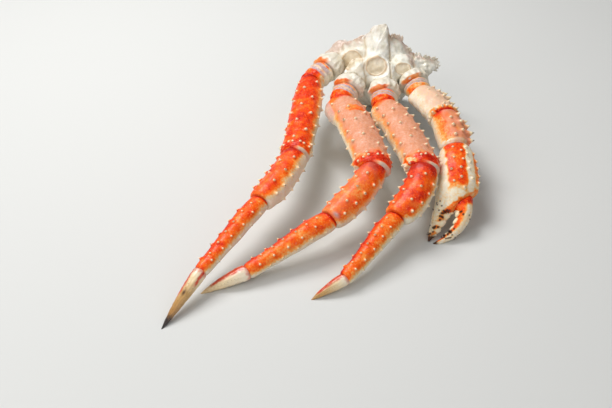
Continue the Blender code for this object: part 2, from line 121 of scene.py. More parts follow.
def soft_box(name, place, size, power):
    """A square lamp, in metres and watts, that faces the section."""
    lamp = bpy.data.lights.new(name, "AREA")
    lamp.shape = "RECTANGLE"
    lamp.size = size
    lamp.size_y = size
    lamp.energy = power
    holder = bpy.data.objects.new(name, lamp)
    holder.location = place
    holder.rotation_euler = (Vector(LAMP_AIM) - Vector(place)).to_track_quat("-Z", "Y").to_euler()
    bpy.context.scene.collection.objects.link(holder)


soft_box("key light", (-0.45, 0.6, 1.25), size=0.7, power=19)
soft_box("fill light", (0.9, -1.1, 1.2), size=1.4, power=6)
soft_box("front light", (-0.9, -0.9, 0.9), size=1.2, power=10.5)
world = bpy.data.worlds.new("studio air")
world.use_nodes = True
world.node_tree.nodes["Background"].inputs["Color"].default_value = colour("#F2F4F6")
world.node_tree.nodes["Background"].inputs["Strength"].default_value = 0.2
bpy.context.scene.world = world
bpy.context.scene.view_settings.view_transform = "Standard"

eye = bpy.data.cameras.new("camera")
eye.sensor_width = SENSOR_WIDTH
eye.lens = SENSOR_WIDTH * FOCAL_PIXELS / PHOTO_WIDTH
camera = bpy.data.objects.new("camera", eye)
forward = Vector((0, math.cos(LOOK_DOWN), -math.sin(LOOK_DOWN)))
camera.location = -forward * STAND_OFF - CENTRE * MM
camera.rotation_euler = forward.to_track_quat("-Z", "Y").to_euler()
bpy.context.scene.collection.objects.link(camera)
bpy.context.scene.camera = camera


# The shoulder: a fan of thin swollen chambers, three of them with a round clear window, torn along its
# crest and split down its back where the section was parted from the body. It is boiled inner shell,
# chalky white and stained tan along the seams, with white meat on the split side.

# Each slice of the fan, from left to right: its x, the y of its face where that is widest, the y and z
# of its crest, the z of its underside and the y of its split side.
SLICES = [
    (25, 243.0, 244.5, 66, 54, 248),
    (31, 240.0, 242.0, 72, 46, 248),
    (38, 236.0, 239.0, 78, 34, 248),
    (44, 231.0, 236.0, 82.5, 20, 248),
    (50, 225.5, 233.0, 87.5, 8, 247),
    (54, 217.0, 231.0, 90.5, 2, 246),
    (58, 206.0, 229.0, 93.5, -1, 245),
    (63, 195.0, 227.0, 96, -1, 244),
    (68, 188.0, 226.0, 99, -1, 243),
    (74, 184.0, 226.0, 102, -1, 243),
    (79, 181.5, 226.0, 105, -1, 243),
    (83, 180.0, 226.0, 112, -1, 243),
    (88, 179.5, 226.0, 115, -1, 243),
    (94, 179.0, 226.0, 116.5, -1, 243),
    (100, 179.5, 226.0, 115.5, -1, 243),
    (103.5, 180.5, 226.0, 111, -1, 243),
    (106, 181.0, 226.0, 98, -1, 243),
    (110, 183.0, 225.0, 101.5, -1, 243),
    (115, 186.0, 225.0, 100, 0, 243),
    (121, 190.5, 224.0, 97, 4, 243),
    (127, 196.0, 222.0, 89, 12, 242),
    (133, 200.5, 219.0, 82, 22, 239),
    (140, 203.0, 216.0, 79, 34, 235),
    (147, 204.0, 214.0, 78, 43, 230),
    (154, 204.0, 212.0, 79, 50, 225),
    (161, 203.5, 210.0, 78, 58, 219),
    (167, 204.0, 209.0, 76, 66, 213),
]
CREASES = [18, 48, 74, 106, 137, 168]  # the x of the creases between the chambers
CHAMBER_BULGE = 4.5
MEAT_BULGE = 2.5
CREST_THICKNESS = 3.0
FOOT_DEPTH = 21
SPLIT_LEAN = 8
WIDEST_AT = 60
SLICE_STEP = 1.2
FACE_STEPS = 70
BACK_STEPS = 60
# The chambers that the limbs' roots grow from. Each ring of one is its depth behind the joint, its width
# and height as shares of the root's own, and its rise.
CHAMBER_RINGS = [(0, 1.0, 1.0, 0), (6, 1.08, 1.1, 1), (14, 1.1, 1.2, 3), (22, 0.95, 1.1, 5),
                 (27, 0.6, 0.8, 6)]
ROOT_WIDTH = 0.86
ROOT_HEIGHT = 0.92
BELLY_FLATTENING = 0.12
JOINT_GAP = 0.3
FLOOR_CLEARANCE = 0.02
RIPPLE_WAVES = 7
MERGE_WITHIN = 0.03
DEEPEST = 1.8  # the relief may sink in and stand out this far
HIGHEST = 1.6
# Each limb: its root, then its segments as length, heading, pitch, half width, half height and bow.
LIMBS = {
    "claw": ((130.1, 186.7, 61), {
        "coxa": (15.7, -61.4, -11.0, 18.5, 17.0, 0),
        "basis": (18.2, -73.8, -6.3, 16.5, 15.0, 0),
        "merus": (64.7, -68.6, 0.9, 18.8, 16.0, 0),
        "carpus": (58.0, -82.0, -6.9, 18.2, 17.0, 1.5),
        "palm": (78.7, -89.5, -14.4, 22.5, 16.5, 0),
    }),
    "leg_1": ((97.8, 172.0, 58), {
        "coxa": (19.3, -92.5, -12.0, 18.5, 17.0, 0),
        "basis": (21.0, -91.1, -6.8, 16.5, 15.5, 0),
        "merus": (144.9, -75.0, 0.2, 20.5, 16.5, 2),
        "carpus": (74.3, -119.0, -15.6, 17.5, 16.5, 6.5),
        "propodus": (101.1, -125.9, -12.0, 12.5, 11.5, 1),
        "dactyl": (43.3, -149.5, -14.7, 7.5, 7.0, 0),
    }),
    "leg_2": ((60.4, 178.4, 60), {
        "coxa": (19.4, -119.0, -11.9, 18.5, 17.0, 0),
        "basis": (24.9, -108.8, -5.8, 16.5, 15.5, 0),
        "merus": (152.9, -77.2, 0.2, 21.5, 17.0, 4),
        "carpus": (84.8, -128.1, -14.3, 16.6, 16.5, 4.5),
        "propodus": (111.7, -144.7, -11.4, 13.5, 12.0, 1),
        "dactyl": (54.7, -154.9, -10.7, 9.5, 8.5, 0),
    }),
    "leg_3": ((38.5, 226.0, 62), {
        "coxa": (24.6, -126.1, -4.7, 18.5, 16.5, 0),
        "basis": (32.4, -123.8, -3.5, 16.8, 15.0, 0),
        "merus": (160.1, -96.6, -2.1, 18.0, 16.0, 1),
        "carpus": (86.9, -116.2, -5.3, 16.5, 15.5, 3),
        "propodus": (115.9, -122.1, -10.4, 12.0, 11.0, 0),
        "dactyl": (76.8, -119.8, -17.0, 8.0, 7.5, 0),
    }),
}


def smooth_step(low, high, value):
    """0 below low, 1 above high, eased between them."""
    t = np.clip((value - low) / (high - low), 0.0, 1.0)
    return t * t * (3 - 2 * t)


def ripples(points, size, seed):
    """A smooth wavering between about -1 and 1 over the points, its waves about size mm long."""
    draw = np.random.default_rng(seed)
    total = np.zeros(len(points))
    for _ in range(RIPPLE_WAVES):
        way = draw.normal(size=3)
        way /= np.linalg.norm(way)
        length = size * draw.uniform(0.7, 1.6)
        total += np.sin(points @ way * (2 * math.pi / length) + draw.uniform(0, 2 * math.pi))
    return total / (RIPPLE_WAVES / 2)


def read_rows(piece, what):
    """Three numbers for each point of a piece, as its mesh holds them."""
    flat = np.empty(len(piece.data.vertices) * 3)
    piece.data.vertices.foreach_get(what, flat)
    return flat.reshape(-1, 3)


def drawn(piece):
    """A piece's points in the drawing's millimetres."""
    return read_rows(piece, "co") / MM + np.array(CENTRE)


def normals_of(piece):
    """The way that each point of a piece faces."""
    return read_rows(piece, "normal")


def placed(points):
    """Drawing millimetres as metres about the part's centre."""
    return (points - np.array(CENTRE)) * MM


def lay_out(piece, points):
    """Lays a piece's points anew, in the drawing's millimetres."""
    piece.data.vertices.foreach_set("co", placed(points).ravel())
    piece.data.update()


def lay_on_floor(piece, points):
    """Lays a piece's points anew, none of them under the floor."""
    points[:, 2] = np.maximum(points[:, 2], FLOOR_CLEARANCE)
    lay_out(piece, points)


def grid_piece(name, points):
    """A grid laid out over an array of points, rows by columns, and the row and column of each point."""
    rows, columns = points.shape[:2]
    bpy.ops.object.select_all(action="DESELECT")
    bpy.ops.mesh.primitive_grid_add(x_subdivisions=columns - 1, y_subdivisions=rows - 1, size=1)
    piece = bpy.context.object
    piece.name = name
    piece.data.name = name
    flat = read_rows(piece, "co")
    column = np.rint((flat[:, 0] + 0.5) * (columns - 1)).astype(int)
    row = np.rint((flat[:, 1] + 0.5) * (rows - 1)).astype(int)
    lay_out(piece, points[row, column])
    return piece, row, column


def close_up(piece):
    """Merges the points that meet and faces the whole shell outwards."""
    bpy.ops.object.select_all(action="DESELECT")
    bpy.context.view_layer.objects.active = piece
    piece.select_set(True)
    bpy.ops.object.mode_set(mode="EDIT")
    bpy.ops.mesh.select_all(action="SELECT")
    bpy.ops.mesh.remove_doubles(threshold=MERGE_WITHIN * MM)
    bpy.ops.mesh.normals_make_consistent(inside=False)
    bpy.ops.object.mode_set(mode="OBJECT")
    bpy.ops.object.shade_smooth()


def fuse(pieces, name, voxel, rounds):
    """Joins closed bodies to one skin of points a voxel apart, in mm, and evens it out in rounds."""
    bpy.ops.object.select_all(action="DESELECT")
    for each in pieces:
        each.select_set(True)
    bpy.context.view_layer.objects.active = pieces[0]
    bpy.ops.object.join()
    piece = bpy.context.object
    piece.name = name
    piece.data.name = name
    remesh = piece.modifiers.new("one skin", "REMESH")
    remesh.mode = "VOXEL"
    remesh.voxel_size = voxel * MM
    remesh.use_smooth_shade = True
    bpy.ops.object.modifier_apply(modifier=remesh.name)
    even = piece.modifiers.new("even out", "SMOOTH")
    even.factor = 0.5
    even.iterations = rounds
    bpy.ops.object.modifier_apply(modifier=even.name)
    return piece


def mark(piece, **marks):
    """Keeps a number for each point of a piece, or one for all, under a name."""
    for name, values in marks.items():
        layer = piece.data.attributes.new(name, "FLOAT", "POINT")
        layer.data.foreach_set("value", np.full(len(layer.data), values, dtype=np.float32))


def dress(piece, material, names, **marks):
    """Gives a piece its material and each mark that the material reads, 0 where none is given."""
    piece.data.materials.clear()
    piece.data.materials.append(material)
    mark(piece, **{name: marks.get(name, 0.0) for name in names})


def unit(vector):
    """A vector made 1 long."""
    return vector / np.linalg.norm(vector)


def direction(heading, pitch):
    """The way of a heading from the x axis and a pitch above level, both in degrees."""
    h = math.radians(heading)
    p = math.radians(pitch)
    return np.array((math.cos(h) * math.cos(p), math.sin(h) * math.cos(p), math.sin(p)))


def axes_along(way):
    """The level way to the side of a way, and the upward one square to both."""
    side = unit(np.cross(way, (0, 0, 1.0)))
    return side, np.cross(side, way)


def outline(centre, side, top, half_width, half_height, angles):
    """Points round a shell: angles are measured from the top, in radians, and the belly is flatter."""
    belly = 1 - BELLY_FLATTENING * np.maximum(0.0, -np.cos(angles))
    across = np.multiply.outer(half_width * np.sin(angles), side)
    return centre + across + np.multiply.outer(half_height * belly * np.cos(angles), top)


def hill(value, middle, width, power=2):
    """1 where the value is at the middle, falling away evenly on both sides over about the width."""
    return np.exp(-((value - middle) / width) ** power)


def slice_points(x, face_y, crest_y, crest_z, under_z, split_y):
    """One upright slice of the fan: up its swollen face, over the crest and down the split side."""
    share = float(np.interp(x, CREASES, range(len(CREASES)))) % 1.0
    swell = math.sin(math.pi * share)
    foot_y = split_y - min(FOOT_DEPTH, (split_y - face_y) * 0.6)

    def face(t, z):
        """The y of the face at a share of the way up and a height."""
        climb = np.clip((z - under_z) / (WIDEST_AT - under_z), 0, 1)
        low = foot_y + (face_y - foot_y) * np.sin(climb * math.pi / 2) ** 0.8
        rise = np.maximum(0.0, (z - WIDEST_AT) / max(1.0, crest_z - WIDEST_AT))
        high = face_y + (crest_y - face_y) * rise ** 1.25
        y = np.where(z < WIDEST_AT, low, high)
        return y - CHAMBER_BULGE * swell * np.sin(math.pi * np.minimum(1.0, t * 0.9 + 0.1))

    t = np.linspace(0, 1, FACE_STEPS)
    z = under_z + (crest_z - under_z) * t
    front = np.stack((np.full_like(t, x), face(t, z), z), axis=1)
    s = np.linspace(1, 0, BACK_STEPS)
    z = under_z + (crest_z - 0.6 - under_z) * s
    near = face(s, z) + CREST_THICKNESS
    ease = np.sin(np.minimum(1.0, (1 - s) * 3) * math.pi / 2)
    split = split_y - SPLIT_LEAN * np.maximum(0.0, z) / 100
    tier = np.abs(np.sin(math.pi * (z - 4) / 58))
    y = np.maximum(near, near + (split - near) * ease + MEAT_BULGE * (swell * tier - 1) * ease)
    back = np.stack((np.full_like(s, x), y, z), axis=1)
    return np.concatenate((front, back, front[:1]))


def capped(rings, shares=(0.0, 0.5)):
    """Rings closed at each end by drawing them in to their middle, at some shares of their size."""
    first, last = rings[0].mean(axis=0), rings[-1].mean(axis=0)
    inner = [first + (rings[0] - first) * k for k in shares]
    outer = [last + (rings[-1] - last) * k for k in reversed(shares)]
    return np.array(inner + list(rings) + outer)


table = np.array(SLICES)
fan_rings = []
for x in np.arange(SLICES[0][0], SLICES[-1][0] + 0.1, SLICE_STEP):
    values = [float(np.interp(x, table[:, 0], table[:, i])) for i in range(1, 6)]
    fan_rings.append(slice_points(x, *values))
fan, _, _ = grid_piece("fan", capped(fan_rings))
close_up(fan)
bodies = [fan]
depths, widths, heights, rises = np.array(CHAMBER_RINGS).T
for root, segments in LIMBS.values():
    _, heading, pitch, half_width, half_height, _ = segments["coxa"]
    way = direction(heading, pitch)
    side, top = axes_along(way)
    rings = []
    for depth in np.linspace(depths[-1], 0, 16):
        wide = half_width * ROOT_WIDTH * np.interp(depth, depths, widths)
        high = half_height * ROOT_HEIGHT * np.interp(depth, depths, heights)
        middle = np.array(root) - way * (depth + JOINT_GAP / 2) + top * np.interp(depth, depths, rises)
        rings.append(outline(middle, side, top, wide, high, np.linspace(0, 2 * math.pi, 65)))
    chamber, _, _ = grid_piece("chamber", capped(rings))
    close_up(chamber)
    bodies.append(chamber)
shoulder = fuse(bodies, "shoulder_shell", voxel=1.1, rounds=2)


def swollen(piece, amount):
    """Moves a piece's skin out along its normals, or in where the amount is negative."""
    lay_out(piece, drawn(piece) + normals_of(piece) * amount)


# Swelling the fan, making it one skin again and shrinking it back fills the sharp inner corners.
WEB_FILLET = 4.0
swollen(shoulder, WEB_FILLET)
shoulder = fuse([shoulder], "shoulder_shell", voxel=0.9, rounds=2)
swollen(shoulder, -WEB_FILLET)
shoulder = fuse([shoulder], "shoulder_shell", voxel=0.85, rounds=4)

# Each window is its middle, its half width and half height, and how hard its rim stands up.
# All of them face forwards and up, square to the slope of the fan.
WINDOWS = [((58.6, 211.3, 70.5), 12.5, 12.8, 0.9), ((88.0, 186.0, 78.0), 12.0, 11.5, 1.1),
           ((121.5, 192.0, 70.0), 9.0, 6.8, 0.8)]
WINDOW_FACING = np.array((0.0, -0.81, 0.588))
WINDOW_UP = np.array((0.0, 0.588, 0.81))


def window_reach(points, outward, middle, half_width, half_height):
    """How far each point is from a window's middle, with 1 at its rim, how far up and how deep it is,
    and whether it faces out there."""
    apart = points - np.array(middle)
    upward = apart @ WINDOW_UP / half_height
    reach = np.sqrt((apart[:, 0] / half_width) ** 2 + upward ** 2) + ripples(points, 11, 5) * 0.05
    depth = apart @ WINDOW_FACING
    facing = smooth_step(-0.1, 0.2, outward @ WINDOW_FACING) * smooth_step(30, 22, np.abs(depth))
    return reach, upward, depth, facing


# The shell is first pressed level where a window's clear skin will be stretched across it.
points, outward = drawn(shoulder), normals_of(shoulder)
flatten = np.zeros(len(points))
for middle, half_width, half_height, _ in WINDOWS:
    reach, _, depth, facing = window_reach(points, outward, middle, half_width, half_height)
    level = np.percentile(depth[(reach < 0.9) & (facing > 0.5)], 55)
    flatten += np.clip(level - depth, -10, 9) * smooth_step(1.5, 0.95, reach) * facing * 0.85
points += np.multiply.outer(flatten, WINDOW_FACING)
lay_out(shoulder, points)
shoulder = fuse([shoulder], "shoulder_shell", voxel=0.8, rounds=4)

# The relief, in mm along the way that the shell faces. Each window has a raised edge, a rolled fold of
# shell outside it and a slightly domed skin.
points, outward = drawn(shoulder), normals_of(shoulder)
x, z = points[:, 0], points[:, 2]
backward = outward[:, 1]
window, rim, push = (np.zeros(len(points)) for _ in range(3))
for middle, half_width, half_height, stand in WINDOWS:
    reach, upward, _, facing = window_reach(points, outward, middle, half_width, half_height)
    edge = hill(reach, 1.03, 0.09) * facing
    roll = hill(reach, 1.3, 0.12) * facing * smooth_step(-1.0, -0.3, upward)
    window = np.maximum(window, smooth_step(1.0, 0.86, reach) * facing)
    rim = np.maximum(rim, edge)
    push += edge * 1.1 * stand + roll * 0.9 * stand + smooth_step(0.85, 0.0, reach) * facing * 0.9

# The walls between the chambers sink in: creases on the upper face, seams on the split side.
share = np.interp(x + ripples(points, 25, 6) * 1.2, CREASES, range(len(CREASES)))
from_wall = share - np.rint(share)
crease = hill(from_wall, 0, 0.045) * smooth_step(0.2, -0.3, backward)
crease *= smooth_step(50, 64, z) * (1 - window)
seam = hill(from_wall, 0, 0.035) * smooth_step(0.1, 0.6, backward)
push -= crease * 1.2 + seam * 1.5 * smooth_step(104, 92, z)

# Soft waves lie all over, upright ridges run between the windows, and the right end is frayed.
push += ripples(points, 14, 3) * 0.5 + ripples(points, 6, 4) * 0.3
ridged = 0.35 - np.abs(ripples(points * (1.0, 0.7, 0.22), 13, 17))
push += ridged * (1 - window) * (1 - 0.6 * crease)
push += ripples(points * (1.0, 0.6, 0.3), 16, 10) * 0.7 * (1 - window)
push += smooth_step(136, 152, x) * ripples(points * (1.0, 1.0, 0.35), 5, 11) * 0.9

# The crest is jagged and stained where it was torn. The tall peak has a square right corner,
# and its face is folded back along a slanting line.
under_crest = np.interp(x, table[:, 0], table[:, 3]) - z
crest = smooth_step(7, 1, under_crest + ripples(points, 9, 7) * 2)
crest *= 0.25 + 0.75 * np.maximum(smooth_step(76, 70, x), smooth_step(104, 108, x))
stain = smooth_step(0.35, 1.0, ripples(points, 7, 15)) * smooth_step(88, 66, z) * (1 - window)
jagged = smooth_step(5, 0, under_crest) * (0.4 + 1.4 * smooth_step(128, 140, x))
z -= jagged * np.maximum(0, ripples(points, 5, 8) + 0.3) * 1.3
corner = smooth_step(94, 101.5, x) * smooth_step(105.5, 103.5, x)
z += 3.0 * corner * smooth_step(16, 3, under_crest)
fold_line = (x - 86) * 1.45 - (z - 92)
facet = smooth_step(1.2, -1.2, fold_line + ripples(points, 15, 18)) * smooth_step(86, 92, z)
push -= facet * smooth_step(106, 102, x) * smooth_step(0.2, -0.2, backward) * 1.3

# The split side is meat: lobes of muscle with flakes between them and fine threads along them.
split_side = smooth_step(0.15, 0.6, backward) * smooth_step(112, 100, z)
lobed = ripples(points * (1.0, 1.0, 0.6), 22, 9) * 1.1 + ripples(points, 9, 12) * 0.5
threads = ripples(points * (1.0, 0.5, 0.25) + ripples(points, 13, 13)[:, None] * 2, 3.0, 14) * 0.3
flakes = np.abs(np.sin(share * math.pi * 2 + ripples(points, 30, 16) * 0.8)) * 1.4 - 0.9
push += split_side * (lobed * 0.7 + threads + flakes)
points += outward * np.clip(push, -DEEPEST, HIGHEST)[:, None]
lay_on_floor(shoulder, points)
wash = smooth_step(82, 68, x) * smooth_step(0.3, -0.3, backward) * (0.5 + 0.25 * ripples(points, 12, 19))
tan = np.max([crease, seam, stain * 0.5, wash * 0.7], axis=0)


def read_marks(material, names):
    """The outputs that bring each point's marks to a material."""
    return {name: add_node(material, "ShaderNodeAttribute", {"attribute_name": name}, out="Fac")
            for name in names}


def ramp(material, factor, *stops):
    """A colour ramp through places and their hex colours."""
    output = add_node(material, "ShaderNodeValToRGB", sockets={"Fac": factor})
    band = output.node.color_ramp.elements
    for i, (spot, code) in enumerate(stops):
        stop = band[i] if i < len(band) else band.new(spot)
        stop.position = spot
        stop.color = colour(code)
    return output


def blend(material, factor, low, high):
    """One colour passing to another by a factor. A colour is a hex value or another node's output."""
    return add_node(material, "ShaderNodeMix", {"data_type": "RGBA"}, {0: factor, 6: low, 7: high}, out=2)


def sums(material, kind, first, second, clamp=False):
    """One arithmetic step between two numbers or outputs."""
    settings = {"operation": kind, "use_clamp": clamp}
    return add_node(material, "ShaderNodeMath", settings, {0: first, 1: second})


def share_of(material, amount, part):
    """An amount scaled by a fixed part."""
    return sums(material, "MULTIPLY", amount, part)


# The marks are how far each point is clear window, its rim, tan crease, torn crest, meat and orange band.
# On the coxae the tan crease mark also holds painted shade in their hollows.
# The shell's finish is matt ivory, thin enough that some light goes in. To the eye it gives stains 11 mm
# across under a dry 2.2 mm grain, tan skin in the windows, and wet white meat that is flushed pink in
# spots of 22 mm. The meat's threads are 1.4 mm thick, coarser than real ones so that they show.
IVORY = "#E7E3D6"
CHITIN_MARKS = ("window", "rim", "crease", "crest", "meat", "band")
chitin, place = new_material("boiled inner shell, ivory and matt")
marks = read_marks(chitin, CHITIN_MARKS)
stains = noise(chitin, place, scale=90.0, detail=4.0, roughness=0.6)
upright = add_node(chitin, "ShaderNodeMapping", sockets={"Scale": (1.0, 1.0, 0.25), "Vector": place})
fibres = noise(chitin, upright, scale=700.0, detail=3.0)
grain = noise(chitin, place, scale=450.0, detail=5.0, roughness=0.65)
clear_skin = ramp(chitin, stains, (0.3, "#CCB68E"), (0.52, "#DFCEAE"), (0.75, "#EDE2CD"))
orange = ramp(chitin, stains, (0.35, "#F2A25A"), (0.55, "#EC7A2E"), (0.7, "#DE5518"))
ivory = ramp(chitin, stains, (0.3, "#D6D0BC"), (0.5, IVORY), (0.75, "#F3F1EA"))
ivory = blend(chitin, share_of(chitin, marks["window"], 0.85), ivory, clear_skin)
ivory = blend(chitin, share_of(chitin, marks["rim"], 0.75), ivory, "#C39A5C")
ivory = blend(chitin, share_of(chitin, marks["crease"], 0.6), ivory, "#BFA274")
ivory = blend(chitin, share_of(chitin, marks["crest"], 0.6), ivory, "#BE9480")
meat = ramp(chitin, fibres, (0.3, "#DFCFC0"), (0.55, "#F5EADF"), (0.8, "#FFF9F2"))
flush = ramp(chitin, fibres, (0.3, "#DDA88C"), (0.6, "#F0C8B0"))
flushed = sums(chitin, "SUBTRACT", noise(chitin, place, scale=45.0, detail=3.0), 0.5)
flushed = share_of(chitin, sums(chitin, "MULTIPLY", flushed, 4.0, clamp=True), 0.8)
ivory = blend(chitin, marks["meat"], ivory, blend(chitin, flushed, meat, flush))
ivory = blend(chitin, marks["band"], ivory, orange)
finish(chitin, {
    "Base Color": ivory, "Roughness": 0.42, "Coat Weight": 0.15, "Coat Roughness": 0.3,
    "Subsurface Weight": 0.12, "Subsurface Scale": 4 * MM, "Subsurface Radius": (1.0, 0.85, 0.7),
    "Normal": dented(chitin, grain, strength=0.35, depth=0.6),
})
dress(shoulder, chitin, CHITIN_MARKS, window=window, rim=rim, crease=tan, crest=crest,
      meat=split_side * (1 - 0.75 * seam))
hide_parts("shoulder")
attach(shoulder, "root")


# The torn edge: shreds of thin membrane that curl up along the crest, where the right end and the second
# peak are torn. They are the shoulder's own skin, dried a little tan, and hang on it by their feet.

# Each shred is its foot, the way it grows, the way it curls, its width, length, curl and seed.
SHREDS = [
    ((108, 223, 100), (0.1, 0.1, 1), (1, 0, 0), 8, 5.5, 1.5, 1),
    ((131, 220, 83.5), (0.5, 0.2, 1), (0, -1, 0.3), 9, 5.0, 2.0, 2),
    ((143, 215, 77.5), (0.2, 0.2, 1), (0, -1, 0), 10, 5.5, -2.0, 3),
    ((153, 211, 77), (0.4, 0, 1), (0, -1, 0.2), 9, 6.5, 2.0, 4),
    ((162, 208, 76), (0.7, -0.1, 1), (0.2, -1, 0), 9, 7.0, 2.5, 5),
    ((166, 206, 71), (1, -0.2, 0.25), (0, -1, 0.5), 10, 6.0, 2.0, 6),
    ((165.5, 207, 64), (1, -0.3, -0.3), (0, -1, 0), 9, 5.0, 1.8, 7),
    ((112, 223.5, 100.5), (0.1, 0, 1), (0, -1, 0.1), 11, 6.5, 1.6, 8),
    ((119, 223, 97.5), (0.5, 0, 1), (0, -1, 0.1), 10, 6.0, -1.6, 9),
]
SHRED_THICKNESS = 0.7
SHRED_ROOT = 1.5


def shred(root, way, curl_way, width, length, curl, seed):
    """A torn flap of thin membrane: a curled sheet with a ragged end, given a thickness."""
    draw = np.random.default_rng(seed)
    way = unit(np.array(way))
    side = unit(np.cross(way, curl_way))
    u, v = np.meshgrid(np.linspace(0, 1, 22), np.linspace(-0.5, 0.5, 18), indexing="ij")
    torn = 0.8 + 0.22 * np.sin(v * 9 + draw.uniform(0, 6)) + 0.08 * np.sin(v * 26 + draw.uniform(0, 6))
    wave = 0.5 * np.sin(v * 9 + draw.uniform(0, 6)) * u
    points = (np.array(root) - way * SHRED_ROOT + np.multiply.outer(u * length * torn, way)
              + np.multiply.outer(v * width * (1 - 0.4 * u ** 2), side)
              + np.multiply.outer(curl * u ** 2 + wave, np.cross(side, way)))
    sheet, _, _ = grid_piece("shred", points)
    bpy.ops.object.shade_smooth()
    thick = sheet.modifiers.new("thickness", "SOLIDIFY")
    thick.thickness = SHRED_THICKNESS * MM
    thick.offset = 0
    bpy.ops.object.modifier_apply(modifier=thick.name)
    return sheet


flaps = [shred(*values) for values in SHREDS]
bpy.ops.object.select_all(action="DESELECT")
for flap in flaps:
    flap.select_set(True)
bpy.context.view_layer.objects.active = flaps[0]
bpy.ops.object.join()
torn_edge = bpy.context.object
torn_edge.name = "shoulder_torn_edge"
dress(torn_edge, chitin, CHITIN_MARKS, crease=0.12,
      crest=0.1 + 0.6 * smooth_step(135, 120, drawn(torn_edge)[:, 0]))
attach(torn_edge, "root")


# The coxae: the limbs' short thick collars, the same ivory shell as the body, with lumps round the rim
# and an orange band where the limb comes out.

# Each profile gives, at shares of a segment's length, its half width, half height and rise.
PROFILES = {
    "coxa": [(0, 0.86, 0.92, 0), (0.35, 0.95, 0.97, 0.02), (0.8, 1.1, 1.06, 0), (1, 1.04, 1.0, 0)],
    "basis": [(0, 0.86, 0.88, 0), (0.25, 1.0, 1.0, 0), (0.6, 0.94, 0.94, 0), (1, 0.9, 0.9, 0)],
    "merus": [(0, 0.7, 0.76, 0), (0.04, 0.84, 0.86, 0.02), (0.12, 0.96, 0.95, 0.05), (0.3, 1.0, 1.0, 0.08),
              (0.55, 1.01, 1.02, 0.08), (0.8, 0.97, 0.98, 0.04), (0.93, 1.0, 1.02, 0.02),
              (1, 0.92, 0.96, 0)],
    "carpus": [(0, 0.88, 0.9, 0.02), (0.08, 0.97, 0.98, 0.02), (0.25, 1.0, 1.0, 0.02), (0.5, 1.04, 1.03, 0),
               (0.75, 1.03, 1.0, -0.03), (0.91, 0.94, 0.91, 0), (1, 0.84, 0.84, 0)],
    "propodus": [(0, 0.9, 0.9, 0), (0.07, 0.98, 0.97, 0.02), (0.25, 1.0, 1.0, 0.18), (0.5, 0.88, 0.9, 0.1),
                 (0.75, 0.74, 0.77, 0.02), (0.93, 0.72, 0.76, 0), (1, 0.64, 0.7, 0)],
    "palm": [(0, 0.76, 0.84, 0), (0.07, 0.86, 0.94, 0), (0.25, 0.95, 1.0, 0.05), (0.49, 1.02, 1.0, 0.05),
             (0.66, 1.04, 0.94, 0.02), (0.82, 1.0, 0.8, -0.05), (1, 0.94, 0.6, -0.25)],
}
POINT_SPACING = 0.8
END_ROUNDING = 2.6
COXA_LOBES = [(-62, 0.4, 2.6), (52, 0.45, 2.0), (-8, 0.2, 1.2)]  # angle, share of the length, height
JOINT_REACH = 22.0  # how far from a joint a segment starts to bend to its plane
PALM_REACH = 34.0


def limb_chain(limb):
    """A limb's segments from the shoulder out, each with its ends, directions and joint planes."""
    root, segments = LIMBS[limb]
    start = np.array(root, dtype=float)
    order = []
    for part, (length, heading, pitch, half_width, half_height, bow) in segments.items():
        way = direction(heading, pitch)
        side, top = axes_along(way)
        order.append({"start": start, "end": start + way * length, "way": way, "side": side, "top": top,
                      "length": length, "half_width": half_width, "half_height": half_height, "bow": bow,
                      "profile": PROFILES.get(part), "limb": limb, "part": part})
        start = start + way * length
    for i, seg in enumerate(order):
        seg["start_plane"] = unit(order[i - 1]["way"] + seg["way"]) if i else seg["way"]
        seg["end_plane"] = unit(seg["way"] + order[i + 1]["way"]) if i + 1 < len(order) else seg["way"]
    return {seg["part"]: seg for seg in order}


CHAINS = {limb: limb_chain(limb) for limb in LIMBS}


def eased(values, width):
    """Values in a row with their corners rounded over a width, their ends kept."""
    half = (width - 1) // 2
    kernel = np.hanning(width)
    before = 2 * values[0] - values[half:0:-1]
    after = 2 * values[-1] - values[-2:-2 - half:-1]
    return np.convolve(np.concatenate((before, values, after)), kernel / kernel.sum(), mode="valid")


def station(seg, share):
    """The centre and the half sizes of a segment at a share of its length."""
    stations = np.array(seg["profile"])
    fine = np.linspace(0, 1, 301)
    wide, high, rise = (np.interp(share, fine, eased(np.interp(fine, stations[:, 0], stations[:, i]), 31))
                        for i in (1, 2, 3))
    centre = seg["start"] + seg["way"] * (seg["length"] * share)
    bow = seg["bow"] * 4 * share * (1 - share)
    centre = centre + seg["top"] * (rise * seg["half_height"]) - seg["side"] * bow
    return centre, wide * seg["half_width"], high * seg["half_height"]


